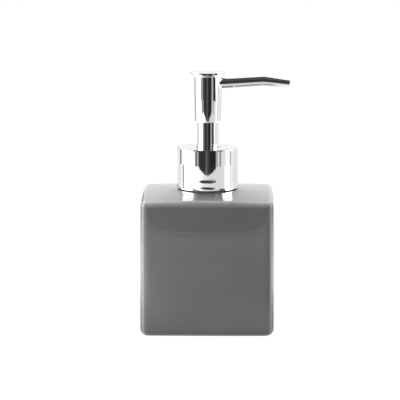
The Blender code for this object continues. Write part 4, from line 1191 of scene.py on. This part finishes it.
def housing(material):
    """Stepped cylinder of the pump, with its valve chamber and vent."""
    low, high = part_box("pump_housing")
    bore_outer = HOUSING_BORE_RADIUS + HOUSING_WALL
    step_z = HOUSING_LEDGE_Z - HOUSING_WALL
    chamber_outer = VALVE_CHAMBER_RADIUS + VALVE_CHAMBER_WALL
    chamber_drop = HOUSING_SHOULDER_Z - HOUSING_WALL
    cone_drop = chamber_drop - (bore_outer - chamber_outer)
    socket_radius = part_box("dip_tube")[1].x + SEAT_GAP
    flange_low = high.z - HOUSING_FLANGE_THICKNESS
    corners = [
        (high.x, high.z, NECK_EDGE),
        (high.x, flange_low, NECK_EDGE),
        (HOUSING_TOP_RADIUS, flange_low, NECK_EDGE),
        (HOUSING_TOP_RADIUS, step_z, NECK_EDGE),
        (bore_outer, step_z - HOUSING_TAPER_LENGTH, NECK_EDGE),
        (bore_outer, chamber_drop, NECK_EDGE),
        (chamber_outer, cone_drop, NECK_EDGE),
        (chamber_outer, low.z, NECK_EDGE),
        (socket_radius, low.z, NECK_EDGE),
        (socket_radius, TUBE_STOP_Z),
        (VALVE_THROAT_RADIUS, TUBE_STOP_Z),
        (VALVE_THROAT_RADIUS, VALVE_SEAT_Z),
        (VALVE_CHAMBER_RADIUS, VALVE_SEAT_TOP_Z),
        (VALVE_CHAMBER_RADIUS, HOUSING_SHOULDER_Z),
        (HOUSING_BORE_RADIUS, HOUSING_SHOULDER_Z),
        (HOUSING_BORE_RADIUS, HOUSING_LEDGE_Z),
        (HOUSING_COUNTERBORE_RADIUS, HOUSING_LEDGE_Z),
        (HOUSING_COUNTERBORE_RADIUS, high.z, NECK_EDGE),
    ]
    mesh = lathe("pump_cylinder", corners, steps=PLASTIC_STEPS)
    piece = add_piece("pump_cylinder", mesh, material, "pump_body", "natural_plastic", "pump_housing")
    bpy.ops.mesh.primitive_cylinder_add(
        vertices=VENT_SIDES, radius=VENT_RADIUS, depth=2 * HOUSING_WALL + SEAT_GAP,
        location=(HOUSING_BORE_RADIUS + HOUSING_WALL / 2, 0, VENT_Z), rotation=(0, math.pi / 2, 0),
    )
    drill = bpy.context.object
    modifier = piece.modifiers.new("vent", "BOOLEAN")
    modifier.operation = "DIFFERENCE"
    modifier.solver = "EXACT"
    modifier.object = drill
    evaluated = piece.evaluated_get(bpy.context.evaluated_depsgraph_get())
    piece.data = bpy.data.meshes.new_from_object(evaluated)
    piece.modifiers.clear()
    bpy.data.objects.remove(drill)
    smooth(piece.data)


def tube(material):
    """Suction tube, cut at a slant at its foot."""
    low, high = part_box("dip_tube")
    bore_radius = high.x - TUBE_WALL
    middle = (high.z + low.z) / 2
    levels = [high.z, high.z - HOLD_DISTANCE, middle, low.z + TUBE_TIP_RADII * high.x, low.z]
    rings = []
    for radius, order in ((high.x, levels), (bore_radius, levels[::-1])):
        for level in order:
            ring = []
            for step in range(TUBE_STEPS):
                angle = math.tau * step / TUBE_STEPS
                x, y = radius * math.cos(angle), radius * math.sin(angle)
                slant = (x + high.x) * TUBE_TIP_SLOPE if level == low.z else 0.0
                ring.append((x, y, level + slant))
            rings.append(ring)
    mesh = loft("suction_tube", rings, closed=True)
    add_piece("suction_tube", mesh, material, "pump_body", "natural_plastic", "dip_tube")


def spring(material):
    """Return spring of round wire with close end turns."""
    low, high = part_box("return_spring")
    first = low.z + SPRING_WIRE_RADIUS
    last = high.z - SPRING_WIRE_RADIUS
    steps = SPRING_TURNS * SPRING_STEPS_PER_TURN
    open_pitch = (last - first - 2 * SPRING_END_PITCH) / (SPRING_TURNS - 2)
    points = []
    for step in range(steps + 1):
        turn = step / SPRING_STEPS_PER_TURN
        ends = min(turn, 1.0) + max(turn - (SPRING_TURNS - 1), 0.0)
        z = first + ends * SPRING_END_PITCH + (turn - ends) * open_pitch
        angle = math.tau * turn
        x, y = SPRING_COIL_RADIUS * math.cos(angle), SPRING_COIL_RADIUS * math.sin(angle)
        points.append(Vector((x, y, z)))
    rings = []
    for index, point in enumerate(points):
        before, after = points[max(index - 1, 0)], points[min(index + 1, steps)]
        ahead = (after - before).normalized()
        out = Vector((point.x, point.y, 0)).normalized()
        up = ahead.cross(out).normalized()
        out = up.cross(ahead).normalized()
        ring = []
        for step in range(SPRING_SIDES):
            angle = math.tau * step / SPRING_SIDES
            ring.append(point + (out * math.cos(angle) + up * math.sin(angle)) * SPRING_WIRE_RADIUS)
        rings.append(ring)
    mesh = loft("steel_spring", rings)
    piece = add_piece("steel_spring", mesh, material, "pump_body", "steel", "return_spring")
    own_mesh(piece)


def main():
    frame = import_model()
    bpy.context.scene.view_settings.view_transform = "Standard"
    camera()
    world()
    table()
    for lamp in LAMPS:
        area_light(*lamp)

    chrome = chrome_material()
    glaze = glaze_material()
    white = plastic_material("white_plastic", *WHITE_PLASTIC)
    natural = plastic_material("natural_plastic", *NATURAL_PLASTIC)
    seal = plastic_material("soft_seal", *SEAL_RUBBER)
    steel = steel_material()
    finishes = {
        "glaze": glaze, "chrome": chrome, "white_plastic": white, "natural_plastic": natural,
        "seal": seal, "steel": steel,
    }
    for row in frame["record"]["subparts"]:
        node = frame["nodes"][row["node"]]
        node.data.materials.clear()
        node.data.materials.append(finishes[row["material_slot"]])

    block(glaze, clay_material())
    collar(chrome)
    sleeve(chrome)
    head(chrome)
    cap(chrome)
    spout(chrome)
    neck(white)
    screw_cap(white)
    housing(natural)
    tube(natural)
    spring(steel)


main()
